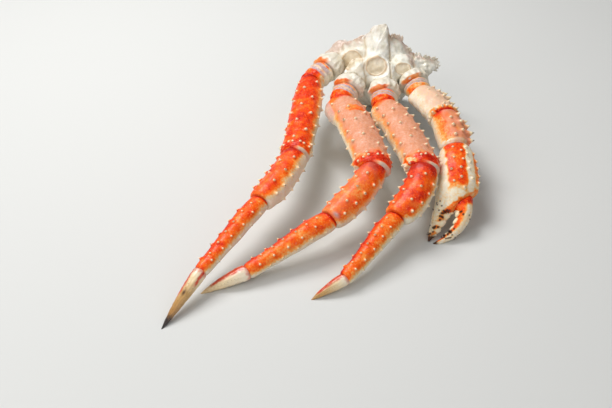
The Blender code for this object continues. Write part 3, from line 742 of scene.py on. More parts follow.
def tube_points(seg):
    """A segment's skin as rows round it, with rounded ends that lie in its joint planes."""
    length = seg["length"]
    shares = np.linspace(0, 1, max(14, int(length / POINT_SPACING)))
    girth = math.pi * (seg["half_width"] + seg["half_height"])
    angles = np.linspace(0, 2 * math.pi, int(girth / POINT_SPACING) + 1)
    reach = min(PALM_REACH if seg["part"] == "palm" else JOINT_REACH, length * 0.8)
    rings = []
    for share in shares:
        centre, wide, high = station(seg, share)
        ring = outline(centre, seg["side"], seg["top"], wide, high, angles)
        for at, plane, away, sign in (
            (seg["start"], seg["start_plane"], share * length, 1),
            (seg["end"], seg["end_plane"], (1 - share) * length, -1),
        ):
            pull = max(0.0, 1 - away / reach) ** 1.5
            spot = at + seg["way"] * (sign * (away + JOINT_GAP / 2))
            shift = ((spot - ring) @ plane) / (seg["way"] @ plane)
            # The end is drawn in by a tenth, and more on the sharp side of a bent joint.
            corner = np.clip(-sign * shift / (0.4 * max(wide, high)), 0, 1)
            drawn_in = 0.1 * (1 - smooth_step(0, END_ROUNDING, away))
            drawn_in = drawn_in + 0.13 * corner * (1 - smooth_step(0, END_ROUNDING + 8 * corner, away))
            ring = centre + (ring - centre) * (1 - drawn_in)[:, None]
            ring = ring + np.multiply.outer(shift * pull, seg["way"])
        rings.append(ring)
    return capped(rings, (0.0, 0.45, 0.85)), np.concatenate(([0, 0, 0], shares, [1, 1, 1])), angles


def turn_of(angles):
    """Angles round a shell in degrees from its top, up to half a turn each way."""
    return np.degrees(np.where(angles > math.pi, angles - 2 * math.pi, angles))


def segment_piece(seg, nodes):
    """A segment's plain skin, with its share and turn marked, standing for the part's nodes."""
    points, shares, angles = tube_points(seg)
    piece, row, column = grid_piece("_".join((seg["limb"], seg["part"], "shell")), points)
    mark(piece, share=shares[row], turn=turn_of(angles)[column])
    close_up(piece)
    for node in nodes:
        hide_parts(node)
    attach(piece, "root")
    return piece


def read_mark(piece, name):
    """The numbers that a piece's points keep under a name."""
    values = np.empty(len(piece.data.vertices), dtype=np.float32)
    piece.data.attributes[name].data.foreach_get("value", values)
    return values.astype(float)


def read_skin(piece):
    """A piece's points, the way each one faces, its share of the length and its angle from the top."""
    return drawn(piece), normals_of(piece), read_mark(piece, "share"), read_mark(piece, "turn")


for limb, chain in CHAINS.items():
    coxa = segment_piece(chain["coxa"], [limb + "_coxa"])
    points, outward, share, turn = read_skin(coxa)
    swell = ripples(points, 9, 21) * 0.7 + ripples(points, 4.5, 22) * 0.25
    for lobe_turn, lobe_share, lobe_height in COXA_LOBES:
        swell += lobe_height * hill(turn, lobe_turn, 26) * hill(share, lobe_share, 0.3)
    pleats = np.cos(np.radians(turn) * 17 + ripples(points, 10, 24) * 1.5) * smooth_step(20, -30, turn)
    swell += pleats * 0.4 * smooth_step(0.3, 0.6, share)
    swell *= smooth_step(0, 0.15, share) * smooth_step(1.0, 0.85, share)
    lay_on_floor(coxa, points + outward * swell[:, None])
    # The band of colour lies over the top with a ragged edge. The tan deepens at the root, and in the
    # hollows it deepens as painted shade.
    over = smooth_step(58, 30, np.abs(turn - 30))
    band = smooth_step(0.8, 0.88, share + ripples(points, 7, 23) * 0.06) * over
    band *= smooth_step(-0.5, 0.2, ripples(points, 6, 25) + over)
    tan = 0.42 + smooth_step(0.1, 0.0, share) * 0.5 + smooth_step(0.2, 0.9, -swell) * 0.25
    dress(coxa, chitin, CHITIN_MARKS, band=band, crease=tan)


# The bases: the limbs' short second rings, orange and red, with smooth lilac skin showing in folds between.
# They are the first pieces in boiled king crab armour, orange-red above and cream below, and turn in the
# coxae's rims.

# The marks are how red each point is, how far it takes a painted pink highlight that stands for glare on
# the wet armour, how far up a spine, how dark as a tip, and how far it is lilac joint skin.
# The armour is wet and smooth, so to the eye it has a broad soft shine. Its colour breaks up in patches of
# 13 mm and a mottle of 2.4 mm, with pale freckles 3 mm apart and pores of 0.9 mm, all near their real size.
CRAB_MARKS = ("red", "blush", "spine", "tip", "lilac")
crab, place = new_material("boiled spiny crab armour")
marks = read_marks(crab, CRAB_MARKS)
patches = noise(crab, place, scale=75.0, detail=5.0, roughness=0.62)
mottle = noise(crab, place, scale=420.0, detail=3.0, roughness=0.6)
pores = noise(crab, place, scale=1100.0, detail=3.0, roughness=0.6)
freckles = add_node(crab, "ShaderNodeTexVoronoi", out="Distance", sockets={
    "Vector": place, "Scale": 330.0, "Randomness": 1.0})
unevenness = sums(crab, "ADD", share_of(crab, marks["red"], 1.35), 0.22)
uneven = sums(crab, "MULTIPLY", sums(crab, "SUBTRACT", patches, 0.5), unevenness)
mottled = share_of(crab, sums(crab, "SUBTRACT", mottle, 0.5), 0.6)
redness = sums(crab, "ADD", sums(crab, "ADD", marks["red"], uneven), mottled, clamp=True)
rosy_spots = sums(crab, "ADD", share_of(crab, mottle, 0.6), share_of(crab, patches, 0.4))
dots = sums(crab, "MULTIPLY", sums(crab, "LESS_THAN", freckles, 0.2), share_of(crab, patches, 0.45))
spiny = sums(crab, "MULTIPLY", sums(crab, "SUBTRACT", marks["spine"], 0.1), 3.0, clamp=True)
# The pink of the painted highlight that stands for glare on the wet armour, in spots by the mottle.
glare_pink = ramp(crab, rosy_spots, (0.34, "#D5835F"), (0.5, "#DC9D7D"), (0.64, "#E7B89C"))
lilac = ramp(crab, mottle, (0.3, "#A98C8E"), (0.55, "#C6AEB0"), (0.78, "#DFD2CF"))
pale = ramp(crab, marks["spine"], (0.0, "#E9B37C"), (0.3, "#F1D3A4"), (0.7, "#F8EBCB"), (1.0, "#F4E6C6"))
skin = ramp(crab, redness, (0.0, "#EDE2CC"), (0.18, "#EFCD9A"), (0.36, "#F7A04C"), (0.54, "#F86A10"),
            (0.78, "#E83A04"), (1.0, "#BC1600"))
skin = blend(crab, marks["blush"], skin, glare_pink)
skin = blend(crab, dots, skin, "#F3BF98")
skin = blend(crab, marks["lilac"], skin, lilac)
skin = blend(crab, spiny, skin, pale)
skin = blend(crab, marks["tip"], skin, "#4B2C1A")
height = sums(crab, "ADD", share_of(crab, mottle, 0.8), share_of(crab, freckles, -0.5))
height = sums(crab, "ADD", height, share_of(crab, pores, 0.3))
wet = add_node(crab, "ShaderNodeMapRange", sockets={
    "From Min": 0.3, "From Max": 0.7, "To Min": 0.32, "To Max": 0.5, "Value": patches})
finish(crab, {
    "Base Color": skin, "Roughness": wet, "Coat Weight": 0.12, "Coat Roughness": 0.13,
    "Specular IOR Level": 0.16, "Subsurface Weight": 0.08, "Subsurface Scale": 2 * MM,
    "Subsurface Radius": (1.0, 0.35, 0.15), "Normal": dented(crab, height, strength=0.6, depth=0.7),
})

# How much lilac skin shows, and how red the shell is, at places along a basis. The folds run aslant,
# and the shell bleaches to cream on its right side and below.
BASIS_PLACES = [0.0, 0.08, 0.12, 0.16, 0.2, 0.4, 0.44, 0.48, 0.52, 0.62, 0.68, 1.0]
BASIS_SKIN = [0.9, 0.9, 0.0, 0.0, 1.0, 1.0, 0.3, 0.3, 1.0, 0.9, 0.0, 0.0]
BASIS_RED = [0.5, 0.5, 0.5, 0.45, 0.3, 0.25, 0.2, 0.2, 0.4, 0.6, 0.66, 0.75]
for limb, chain in CHAINS.items():
    basis = segment_piece(chain["basis"], [limb + "_basis"])
    points, outward, share, turn = read_skin(basis)
    # Three folds run round the ring, and colour and lilac skin follow them.
    wave = share + 0.13 * np.sin(np.radians(turn)) + ripples(points, 14, 32) * 0.03
    folds = np.cos((wave - 0.06) * 2 * math.pi * 3) * 0.7
    folds *= smooth_step(0, 0.1, share) * smooth_step(1, 0.9, share)
    points = points + outward * (folds + ripples(points, 8, 31) * 0.4)[:, None]
    lay_on_floor(basis, points)
    skin_show = np.interp(wave, BASIS_PLACES, BASIS_SKIN) * smooth_step(110, 70, np.abs(turn + 10))
    red = np.interp(wave, BASIS_PLACES, BASIS_RED) + ripples(points, 7, 33) * 0.15
    red *= 0.6 if limb == "claw" else 1.0
    bleached = smooth_step(-25, -70, turn) * 0.5 + smooth_step(60, 120, np.abs(turn)) * 0.4
    dress(basis, crab, CRAB_MARKS, red=red - bleached, lilac=skin_show * smooth_step(-75, -35, turn))


# The meri: the long upper segments, hinged on the bases. They are armour set with blunt spines that are
# paler than the shell. Two of them get a painted salmon-pink highlight on top for glare on the wet shell,
# and the third is red.

# Spines stand in rows: each row is its angle from the top, its count and its size as a share of the
# segment's spine length.
SPINE_ROWS = {
    "merus": [(-100, 4, 0.7), (-62, 7, 1.0), (-26, 4, 0.9), (12, 4, 0.85), (50, 6, 0.9), (88, 4, 0.75)],
    "carpus": [(-95, 4, 0.9), (-55, 4, 1.0), (-15, 3, 0.85), (25, 3, 0.9), (70, 5, 1.0)],
    "propodus": [(-85, 5, 0.8), (-40, 5, 0.9), (5, 6, 0.8), (55, 5, 1.0), (100, 5, 0.8)],
    "claw_merus": [(-105, 3, 0.9), (-72, 5, 1.3), (-40, 4, 0.8), (-5, 3, 0.45)],
    "claw_carpus": [(-100, 3, 1.3), (-68, 4, 1.4), (-34, 3, 1.0), (2, 3, 0.8)],
    "claw_palm": [(-100, 4, 0.9), (-68, 5, 1.0), (-34, 5, 0.8), (-8, 5, 0.8), (18, 4, 0.75)],
}
SPINE_LENGTHS = {"merus": 4.6, "carpus": 4.2, "propodus": 3.2,
                 "claw_merus": 5.5, "claw_carpus": 5.5, "claw_palm": 3.8}
# The rows run between these shares of the segment, and some of the palm's end sooner.
SPINE_SPAN = {"merus": (0.08, 0.95), "carpus": (0.14, 0.93), "propodus": (0.1, 0.92),
              "claw_merus": (0.1, 0.92), "claw_carpus": (0.12, 0.9), "claw_palm": (0.07, 0.9)}
ROW_ENDS = {("claw_palm", -100): 0.72, ("claw_palm", -68): 0.74, ("claw_palm", -34): 0.8}
SPINE_LEAN = 0.35
SPINE_SKIRT = 1.8  # how far out the shell swells round a spine, in the spine's own radii


def spine_at(seg, share, turn, length):
    """A spine of a segment, told by its share of the length and its angle from the top."""
    turned = math.radians(turn)
    centre, wide, high = station(seg, share)
    foot = outline(centre, seg["side"], seg["top"], wide, high, np.array([turned]))[0]
    out = seg["side"] * (math.sin(turned) / wide) + seg["top"] * (math.cos(turned) / high)
    return foot, unit(out), seg["way"], length


spine_draw = random.Random(11)
SPINES = {}
for limb, chain in CHAINS.items():
    for part, seg in chain.items():
        kind = "claw_" + part if limb == "claw" else part
        if kind not in SPINE_ROWS:
            continue
        begin, finish_share = SPINE_SPAN[kind]
        SPINES[limb, part] = []
        for order, (angle, count, size) in enumerate(SPINE_ROWS[kind]):
            stagger = 0.5 if order % 2 else 0.0
            row_end = ROW_ENDS.get((kind, angle), finish_share)
            for i in range(count):
                share = begin + (row_end - begin) * (i + 0.25 + stagger) / count
                share = min(row_end, share + spine_draw.uniform(-0.012, 0.012))
                SPINES[limb, part].append(spine_at(
                    seg, share, angle + spine_draw.uniform(-6, 6),
                    SPINE_LENGTHS[kind] * size * spine_draw.uniform(0.85, 1.15)))


def raise_spines(points, spines, dark_share, seed):
    """Draws points up into spines. Tells how far up its spine each point is, and which tips are dark."""
    draw = random.Random(seed)
    up = np.zeros(len(points))
    dark = np.zeros(len(points))
    moved = points.copy()
    for foot, out, lean, length in spines:
        tip = unit(out + lean * SPINE_LEAN)
        radius = 0.42 * length + 1.0
        apart = points - foot
        along = apart @ out
        flat = np.sqrt(np.maximum(0.0, (apart ** 2).sum(axis=1) - along ** 2))
        near = (flat < radius * SPINE_SKIRT) & (np.abs(along) < radius * SPINE_SKIRT)
        if not near.any():
            continue
        spots = np.flatnonzero(near)
        # The point nearest the spine's foot is moved under its tip, so that the tip is sharp.
        peak = spots[np.argmin(flat[spots] + np.abs(along[spots]) * 0.2)]
        moved[peak] += (foot - points[peak]) - out * ((foot - points[peak]) @ out)
        flat[peak] = 0.0
        x = np.clip(flat[spots] / radius, 0, 1)
        cone = (1 - x) ** 1.15
        swell = 0.16 * length * np.clip(1 - (flat[spots] / (radius * SPINE_SKIRT)) ** 2, 0, 1) ** 2
        moved[spots] += np.multiply.outer(cone * length * 0.86, tip) + np.multiply.outer(swell, out)
        up[spots] = np.maximum(up[spots], cone)
        if draw.random() < dark_share:
            dark[spots] = np.maximum(dark[spots], smooth_step(0.62, 0.8, cone))
    return moved, up, dark


def facing_to(turn, lit):
    """1 where a shell faces the angle that its colour is strongest at, 0 on the far side."""
    return 0.5 + 0.5 * np.cos(np.radians(turn - lit))


# Each look is how strong the painted pink highlight on the top is, how red the top is, the angle that the
# colour is strongest at, and how far the flap of the near joint stands out.
MERUS_LOOKS = {"claw": (0.62, 0.06, -30, 2.5), "leg_1": (1.0, 0.5, -14, 3.0),
               "leg_2": (1.0, 0.55, -12, 6.0), "leg_3": (0.0, 0.74, 26, 0.0)}
for limb, chain in CHAINS.items():
    merus = segment_piece(chain["merus"], [limb + "_merus"])
    top_glare, strength, lit, flap = MERUS_LOOKS[limb]
    cuff_draw = random.Random(limb)
    # A collar of small spines stands round the knee, a flap at the near joint and a thin lip at the knee.
    collar = []
    for angle in range(-100, 110, 22):
        collar.append(spine_at(
            chain["merus"], 0.945 + cuff_draw.uniform(-0.008, 0.008), angle + cuff_draw.uniform(-5, 5),
            cuff_draw.uniform(2.4, 3.6)))
    points, outward, share, turn = read_skin(merus)
    lobe = hill(turn, 92, 24) * hill(share, 0.15, 0.12, 4)
    lip = smooth_step(0.982, 0.99, share) * smooth_step(15, -30, turn) * smooth_step(-125, -95, turn)
    lip *= limb != "claw"
    swell = ripples(points, 16, 41) * 0.5 + ripples(points, 6, 42) * 0.18 + lobe * flap + lip * 0.9
    points = points + outward * swell[:, None]
    points, up, dark = raise_spines(points, SPINES[limb, "merus"] + collar, dark_share=0.08, seed=2)
    lay_on_floor(merus, points)
    # The colour is deepest on the side that it is strongest at, and in a cuff before the knee that is pale
    # on its left side. The claw's cuff has a second red edge.
    facing = facing_to(turn, lit)
    red = smooth_step(0.3, 0.8, facing) * strength
    cuff = smooth_step(0.85, 0.93, share + ripples(points, 10, 43) * 0.02)
    pale_cuff = cuff * smooth_step(0.1, 0.6, ripples(points, 9, 45)) * smooth_step(10, 40, turn)
    cuff_red = cuff * smooth_step(0.3, 0.6, facing) * (0.5 if limb == "claw" else 0.8)
    red = np.maximum(red, cuff_red) + smooth_step(0.1, 0.0, share) * 0.3 * facing - pale_cuff * 0.6
    if limb == "claw":
        red += smooth_step(0.955, 0.985, share) * smooth_step(0.3, 0.7, facing) * 0.45
    # The top gets a painted pink highlight for glare on the wet shell, but for a patch on leg_2. Lilac skin
    # shows on a broad flap and on the lip.
    patch = hill(turn, -12, 34, 4) * hill(share, 0.275, 0.055, 4) + ripples(points, 6, 46) * 0.2
    patch = smooth_step(0.4, 0.65, patch) * (limb == "leg_2")
    pink_glare = smooth_step(0.5, 0.78, facing + ripples(points, 13, 44) * 0.08) * top_glare * (1 - cuff)
    pink_glare *= smooth_step(0.03, 0.08, share - smooth_step(0, 60, turn) * 0.05) * (1 - 0.95 * patch)
    flap_skin = hill(turn, 84, 24) * hill(share, 0.15, 0.13, 4) * smooth_step(3, 6, flap)
    dress(merus, crab, CRAB_MARKS, red=(red + lobe * 0.1) * (1 - 0.85 * lip), blush=pink_glare * 0.9, spine=up,
          tip=dark, lilac=np.maximum(smooth_step(0.3, 0.6, flap_skin) * 0.65, lip * 0.5))


# The carpi: the curved segments past the knee, hinged on the meri. They are the same spiny armour, deepest
# red along the upper left edge.

# Each look is the angle that the colour is strongest at, how red it is there, and how strong its painted
# pink highlight for glare is.
CARPUS_LOOKS = {"claw": (-28, 0.5, 0.66), "leg_1": (20, 0.72, 0.04), "leg_2": (12, 0.58, 0.18),
                "leg_3": (46, 0.66, 0.06)}
for limb, chain in CHAINS.items():
    carpus = segment_piece(chain["carpus"], [limb + "_carpus"])
    points, outward, share, turn = read_skin(carpus)
    points = points + outward * (ripples(points, 14, 51) * 0.4)[:, None]
    points, up, dark = raise_spines(points, SPINES[limb, "carpus"], dark_share=0.25, seed=3)
    lay_on_floor(carpus, points)
    lit, strength, glare = CARPUS_LOOKS[limb]
    # The knee's end is red and the far rim pale. The claw's rim is ragged, and it has a red fold at the
    # knee. leg_2 has a lilac bruise by its far rim.
    facing = facing_to(turn, lit)
    head = smooth_step(0.22, 0.04, share) * smooth_step(0.4, 0.7, facing)
    head *= 0.3 if limb == "claw" else 0.45
    edge = smooth_step(0.93, 0.99, share)
    fold = 0.0
    if limb == "claw":
        edge = smooth_step(0.885, 0.93, share + ripples(points, 9, 53) * 0.02) * smooth_step(-62, -48, turn)
        edge *= 2.4 + 1.2 * ripples(points, 5, 54)
        fold = smooth_step(0.06, 0.02, share) * smooth_step(0.2, 0.6, facing) * 0.5
    red = smooth_step(0.25, 0.75, facing) * strength + head - edge * 0.15 + fold
    # A painted pink highlight, standing for glare on the wet shell, lies where it faces the angle of
    # strongest colour.
    pink_glare = smooth_step(0.75, 0.98, facing + ripples(points, 12, 52) * 0.08) * glare
    bruise = hill(turn, -35, 16) * hill(share, 0.965, 0.022) * (limb == "leg_2")
    dress(carpus, crab, CRAB_MARKS, red=red, blush=pink_glare, spine=up * (1.0 if limb == "claw" else 0.8),
          tip=dark, lilac=bruise * 0.9)


# The propodi: the straight slim segments of the same armour, hinged on the carpi. They are red along the
# top edge and cream below, with a deep red crease where they leave the carpi.

# Each look is the angle that the colour is strongest at, and how red it is there.
PROPODUS_LOOKS = {"leg_1": (18, 0.56), "leg_2": (12, 0.56), "leg_3": (30, 0.65)}
for limb, (lit, strength) in PROPODUS_LOOKS.items():
    propodus = segment_piece(CHAINS[limb]["propodus"], [limb + "_propodus"])
    points, outward, share, turn = read_skin(propodus)
    points = points + outward * (ripples(points, 14, 61) * 0.25)[:, None]
    points, up, dark = raise_spines(points, SPINES[limb, "propodus"], dark_share=0.2, seed=4)
    lay_on_floor(propodus, points)
    facing = facing_to(turn, lit)
    red = smooth_step(0.26, 0.75, facing) * strength + hill(turn, lit + 35, 28) * 0.38
    red = np.maximum(red, smooth_step(0.05, 0.02, share) * smooth_step(0.25, 0.55, facing))
    dress(propodus, crab, CRAB_MARKS, red=red, spine=up * 0.7, tip=dark)


# The dactyls: the pointed last segments, hinged on the propodi. They are tan horn with a red stripe above,
# cream at the root and black at the point, worn smooth by walking.

# Each station is a share of the length, and the size there as a share of the full one.
DACTYL_STATIONS = [(0, 1.0), (0.12, 0.98), (0.35, 0.84), (0.6, 0.6), (0.8, 0.38), (0.92, 0.2), (1, 0.07)]
DACTYL_DROOP = 1.5
DACTYL_HUMP = 0.5
DACTYL_SPACING = 0.6
DACTYL_REACH = 8
FLOOR_SINK = 0.9

# The marks are how far each point is along to the black, and how far it is red stripe or dark speck.
# To the eye the horn has the sharpest shine on the animal, over a faint grain of 2.9 mm.
HORN_MARKS = ("along", "stripe", "speck")
horn, place = new_material("crab claw horn, tan to black")
marks = read_marks(horn, HORN_MARKS)
grain = noise(horn, place, scale=350.0, detail=4.0)
ragged = sums(horn, "ADD", marks["along"], share_of(horn, sums(horn, "SUBTRACT", grain, 0.5), 0.12))
body = ramp(horn, ragged, (0.0, "#F5E8D0"), (0.16, "#EBD3A8"), (0.38, "#CBA062"), (0.7, "#A97A42"),
            (0.78, "#3A2C26"), (1.0, "#17161C"))
body = blend(horn, marks["stripe"], body, ramp(horn, grain, (0.3, "#B92A10"), (0.7, "#DE5426")))
body = blend(horn, marks["speck"], body, "#4A3020")
finish(horn, {"Base Color": body, "Roughness": 0.3, "Coat Weight": 0.2, "Coat Roughness": 0.2,
              "Normal": dented(horn, grain, strength=0.25, depth=0.4)})

# Each look is how late the black begins, the angle of the stripe and the share that it ends at.
DACTYL_LOOKS = {"leg_1": (1.4, 15, 0.75), "leg_2": (3.0, 10, 0.7), "leg_3": (0.9, 52, 0.4)}
for limb, (black_from, stripe_turn, stripe_end) in DACTYL_LOOKS.items():
    seg = CHAINS[limb]["dactyl"]
    plane = seg["start_plane"]
    shares = np.linspace(0, 1, int(seg["length"] / DACTYL_SPACING))
    angles = np.linspace(0, 2 * math.pi, 61)
    rings = []
    for share in shares:
        away = share * seg["length"]
        size = np.interp(share, *np.array(DACTYL_STATIONS).T)
        size *= 1 - 0.1 * (1 - smooth_step(0, 2.0, away))
        bend = DACTYL_HUMP * math.sin(math.pi * share) - DACTYL_DROOP * share ** 3
        centre = seg["start"] + seg["way"] * away + seg["top"] * bend
        wide, high = seg["half_width"] * size, seg["half_height"] * size
        ring = outline(centre, seg["side"], seg["top"], wide, high, angles)
        spot = seg["start"] + seg["way"] * (away + JOINT_GAP / 2)
        shift = ((spot - ring) @ plane) / (seg["way"] @ plane)
        rings.append(ring + np.multiply.outer(shift * max(0.0, 1 - away / DACTYL_REACH), seg["way"]))
    drop = rings[-1][:, 2].min() + FLOOR_SINK
    for share, ring in zip(shares, rings):
        ring[:, 2] -= drop * share ** 1.5
    dactyl, row, column = grid_piece(limb + "_dactyl_claw", capped(rings))
    turn = turn_of(angles)[column]
    share = np.concatenate(([0, 0], shares, [1, 1]))[row]
    points = drawn(dactyl)
    # The stripe's edges waver. leg_3 has a second short one and a dark speck, and rows of small dark pits
    # run down every dactyl.
    waver = ripples(points, 8, 71) * 7 + ripples(points, 2.5, 72) * 4
    stripe = hill(turn + waver, stripe_turn, 30, 4)
    speck = np.zeros(len(points))
    if limb == "leg_3":
        stripe = np.maximum(stripe, hill(turn + waver, -52, 16, 4) * smooth_step(0.3, 0.2, share))
        speck = hill(share, 0.42, 0.05) * hill(turn, -10, 16)
    stripe *= smooth_step(stripe_end + 0.15, stripe_end, share + ripples(points, 5, 73) * 0.05)
    stripe = np.maximum(stripe, smooth_step(0.09, 0.03, share + ripples(points, 4, 76) * 0.02) * 0.6)
    pits = smooth_step(0.86, 0.97, np.cos(np.radians(turn * 6)))
    pits *= smooth_step(0.8, 0.95, np.cos(share * 90 + turn // 60))
    speck = np.maximum(speck, pits * smooth_step(0.15, 0.3, share) * 0.7)
    groove = np.cos(np.radians(turn) * 11 + ripples(points, 12, 74)) * 0.16 + ripples(points, 7, 75) * 0.18
    groove *= smooth_step(0.03, 0.15, share) * smooth_step(1.0, 0.8, share)
    dress(dactyl, horn, HORN_MARKS, along=share * 0.84 / black_from, stripe=stripe, speck=speck)
    mark(dactyl, groove=groove)
    close_up(dactyl)
    lay_on_floor(dactyl, drawn(dactyl) + normals_of(dactyl) * read_mark(dactyl, "groove")[:, None])
    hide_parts(limb + "_dactyl")
    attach(dactyl, "root")


# The claw's hand: the palm runs on into the fixed finger, and the other finger is hinged beside it.
# It is cream shell with an orange strip of short spines down the palm and orange along the biting edges.

# A finger's stations, and the teeth, are told from the palm's end: how far along, to the right and below.
# Then come a station's half width and half height, or a tooth's radius.
FIXED_FINGER = [(-40.5, -10.0, 0, 12.0, 12.0), (-22.5, -13.0, 0.5, 12.5, 12.0),
                (-8.5, -17.0, 3, 11.0, 11.0), (3.5, -21.5, 6.5, 9.0, 9.5), (16.5, -27.0, 11, 7.2, 7.5),
                (28.5, -32.0, 15.5, 5.0, 5.0), (37.5, -36.5, 18.5, 2.6, 2.6), (41, -38.5, 19.8, 1.2, 1.2)]
MOVING_FINGER = [(-1.7, 3.0, 4.5, 12.0, 9.0), (11.5, 4.5, 6, 7.8, 8.4), (21.5, 0.5, 9.5, 6.4, 7.4),
                 (29.5, -5.0, 12.8, 5.4, 6.2), (35.5, -12.5, 15.6, 4.6, 5.0), (40.5, -21.5, 18.2, 3.4, 3.6),
                 (43.2, -29.0, 20.2, 2.0, 2.0), (44, -33.0, 21, 1.2, 1.2)]
FIXED_TEETH = [(14, -18.0, 8.5, 5.0), (22.5, -22.8, 11.5, 4.8), (30, -27.4, 14.5, 3.6),
               (35.5, -31.0, 17.0, 2.4)]
MOVING_TEETH = [(13, -3.0, 6, 4.4), (21, -5.8, 8.8, 4.2), (28, -9.8, 11.8, 3.2), (34, -15.4, 14.6, 2.2)]
PALM_HALF_WIDTH = 22.5
FINGER_SPACING = 0.7
HINGE_REACH = 15
CROWDED_PIT = 1.35  # how much wider the pits beside the teeth are
BITE_SIDE = 7  # how far beside the fixed finger's middle its biting edge runs
palm_seg = CHAINS["claw"]["palm"]
knuckle = palm_seg["end"]
hinge_plane = unit(palm_seg["way"] * 0.82 - palm_seg["side"] * 0.57)
palm_seg["end_plane"] = hinge_plane


def hand_place(along, right, below):
    """A place told from the palm's end: how far along, to the right and below."""
    return knuckle + palm_seg["way"] * along - palm_seg["side"] * right - palm_seg["top"] * below


def finger_piece(name, stations, hinged):
    """One finger as a tapering curved tube. A hinged one starts at the slanting joint plane."""
    stations = np.array(stations)
    steps = np.linalg.norm(np.diff(stations[:, :3], axis=0), axis=1)
    marks_along = np.concatenate(([0], np.cumsum(steps)))
    fine = np.linspace(0, marks_along[-1], int(marks_along[-1] / FINGER_SPACING))
    reads = [eased(np.interp(fine, marks_along, stations[:, i]), 13) for i in range(5)]
    centres = np.array([hand_place(a, r, b) for a, r, b in zip(*reads[:3])])
    angles = np.linspace(0, 2 * math.pi, 81)
    rings = []
    for i, centre in enumerate(centres):
        ahead = centres[min(i + 2, len(centres) - 1)] - centres[max(i - 2, 0)]
        side = unit(np.cross(ahead, palm_seg["top"]))
        top = unit(np.cross(side, ahead))
        ring = outline(centre, side, top, reads[3][i], reads[4][i], angles)
        if hinged:
            spot = knuckle + hinge_plane * (JOINT_GAP / 2) + palm_seg["way"] * fine[i]
            shift = ((spot - ring) @ hinge_plane) / (palm_seg["way"] @ hinge_plane)
            ring = centre + (ring - centre) * (1 - 0.12 * (1 - smooth_step(0, END_ROUNDING, fine[i])))
            ring = ring + np.multiply.outer(shift * max(0.0, 1 - fine[i] / HINGE_REACH), palm_seg["way"])
        rings.append(ring)
    piece, row, column = grid_piece(name, capped(rings))
    mark(piece, share=np.concatenate(([0, 0], fine / fine[-1], [1, 1]))[row],
         turn=turn_of(angles)[column])
    close_up(piece)
    return piece, centres


def raise_teeth(points, teeth, toward):
    """Draws blunt teeth up along a biting edge, and tells how far up its tooth each point is."""
    up = np.zeros(len(points))
    moved = points.copy()
    for along, right, below, radius in teeth:
        apart = points - hand_place(along, right, below)
        deep = apart @ toward
        flat = np.sqrt(np.maximum(0.0, (apart ** 2).sum(axis=1) - deep ** 2))
        dome = np.sqrt(np.clip(1 - (flat / radius) ** 2, 0, 1)) * (np.abs(deep) < 2.5 * radius)
        moved += np.multiply.outer(dome * radius * 0.9, toward)
        up = np.maximum(up, dome)
    return moved, up


def bristle_dots(points, count, seed, keep, width=1.0):
    """Dark bristle pits scattered over a finger: how dark each point is, and which points are pits."""
    draw = np.random.default_rng(seed)
    spots = draw.choice(np.flatnonzero(keep), count, replace=False)
    found = np.zeros(len(points))
    for spot in spots:
        away = np.linalg.norm(points - points[spot], axis=1)
        found = np.maximum(found, smooth_step(1.3 * width, 0.6 * width, away))
    return found, spots


palm, _, _ = grid_piece("palm", tube_points(palm_seg)[0])
close_up(palm)
fixed, fixed_line = finger_piece("fixed", FIXED_FINGER, hinged=False)
palm = fuse([palm, fixed], "claw_palm_shell", voxel=0.8, rounds=4)
points, outward = drawn(palm), normals_of(palm)
points = points + outward * (ripples(points, 15, 81) * 0.3)[:, None]
points, up, dark = raise_spines(points, SPINES["claw", "palm"], dark_share=0.3, seed=5)
points, fixed_teeth = raise_teeth(points, FIXED_TEETH, -palm_seg["side"])
lay_on_floor(palm, points)
palm_outward = normals_of(palm)
palm_points = points

# The palm's colour lies in a strip down its back, along its right edge, in the finger's socket, along the
# gape beside the teeth and round the wrist.
from_knuckle = points - knuckle
along = from_knuckle @ palm_seg["way"]
above = from_knuckle @ palm_seg["top"]
across = from_knuckle @ palm_seg["side"] / PALM_HALF_WIDTH
waver = ripples(points, 7, 82) * 0.05
beyond = from_knuckle @ hinge_plane + waver * 20
strip = smooth_step(-0.44, -0.28, across + waver) * smooth_step(0.68, 0.52, across + waver)
strip *= smooth_step(-5, -22, along + ripples(points, 9, 83) * 3) * smooth_step(-6, 2, above)
edge = smooth_step(-0.72, -0.86, across) * smooth_step(-2, -8, beyond)
socket = smooth_step(-3.2, -1.2, beyond) * smooth_step(16, 11, along) * smooth_step(-14, -8, above)
bite_line = fixed_line[::4] - palm_seg["side"] * BITE_SIDE
from_bite = np.min([np.linalg.norm(points - spot, axis=1) for spot in bite_line], axis=0)
gape = smooth_step(9, 13, along) * smooth_step(11.5, 7.5, from_bite)
wrist = smooth_step(-76.2, -77.4, along)
red = 0.05 + strip * 0.66 + edge * 0.45 + socket * 0.4 + gape * 0.42 + wrist * 0.4 - fixed_teeth

# Pits for bristles are scattered over the finger's back and crowd along its gape. The tip is black.
palm_keep = (along > -2) & (socket < 0.1) & (gape < 0.3) & (points[:, 2] > 3)
gape_keep = (gape > 0.4) & (fixed_teeth < 0.05) & (points[:, 2] > 5)
pits, palm_pits = bristle_dots(points, 24, seed=6, keep=palm_keep)
gape_pits, gape_spots = bristle_dots(points, 60, seed=8, keep=gape_keep, width=CROWDED_PIT)
claw_tip = smooth_step(33.5, 38.5, along)
dress(palm, crab, CRAB_MARKS, red=red, spine=np.maximum(up, fixed_teeth),
      tip=np.max([dark, claw_tip, pits * 0.85, gape_pits * 0.9], axis=0))
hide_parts("claw_palm")
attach(palm, "root")

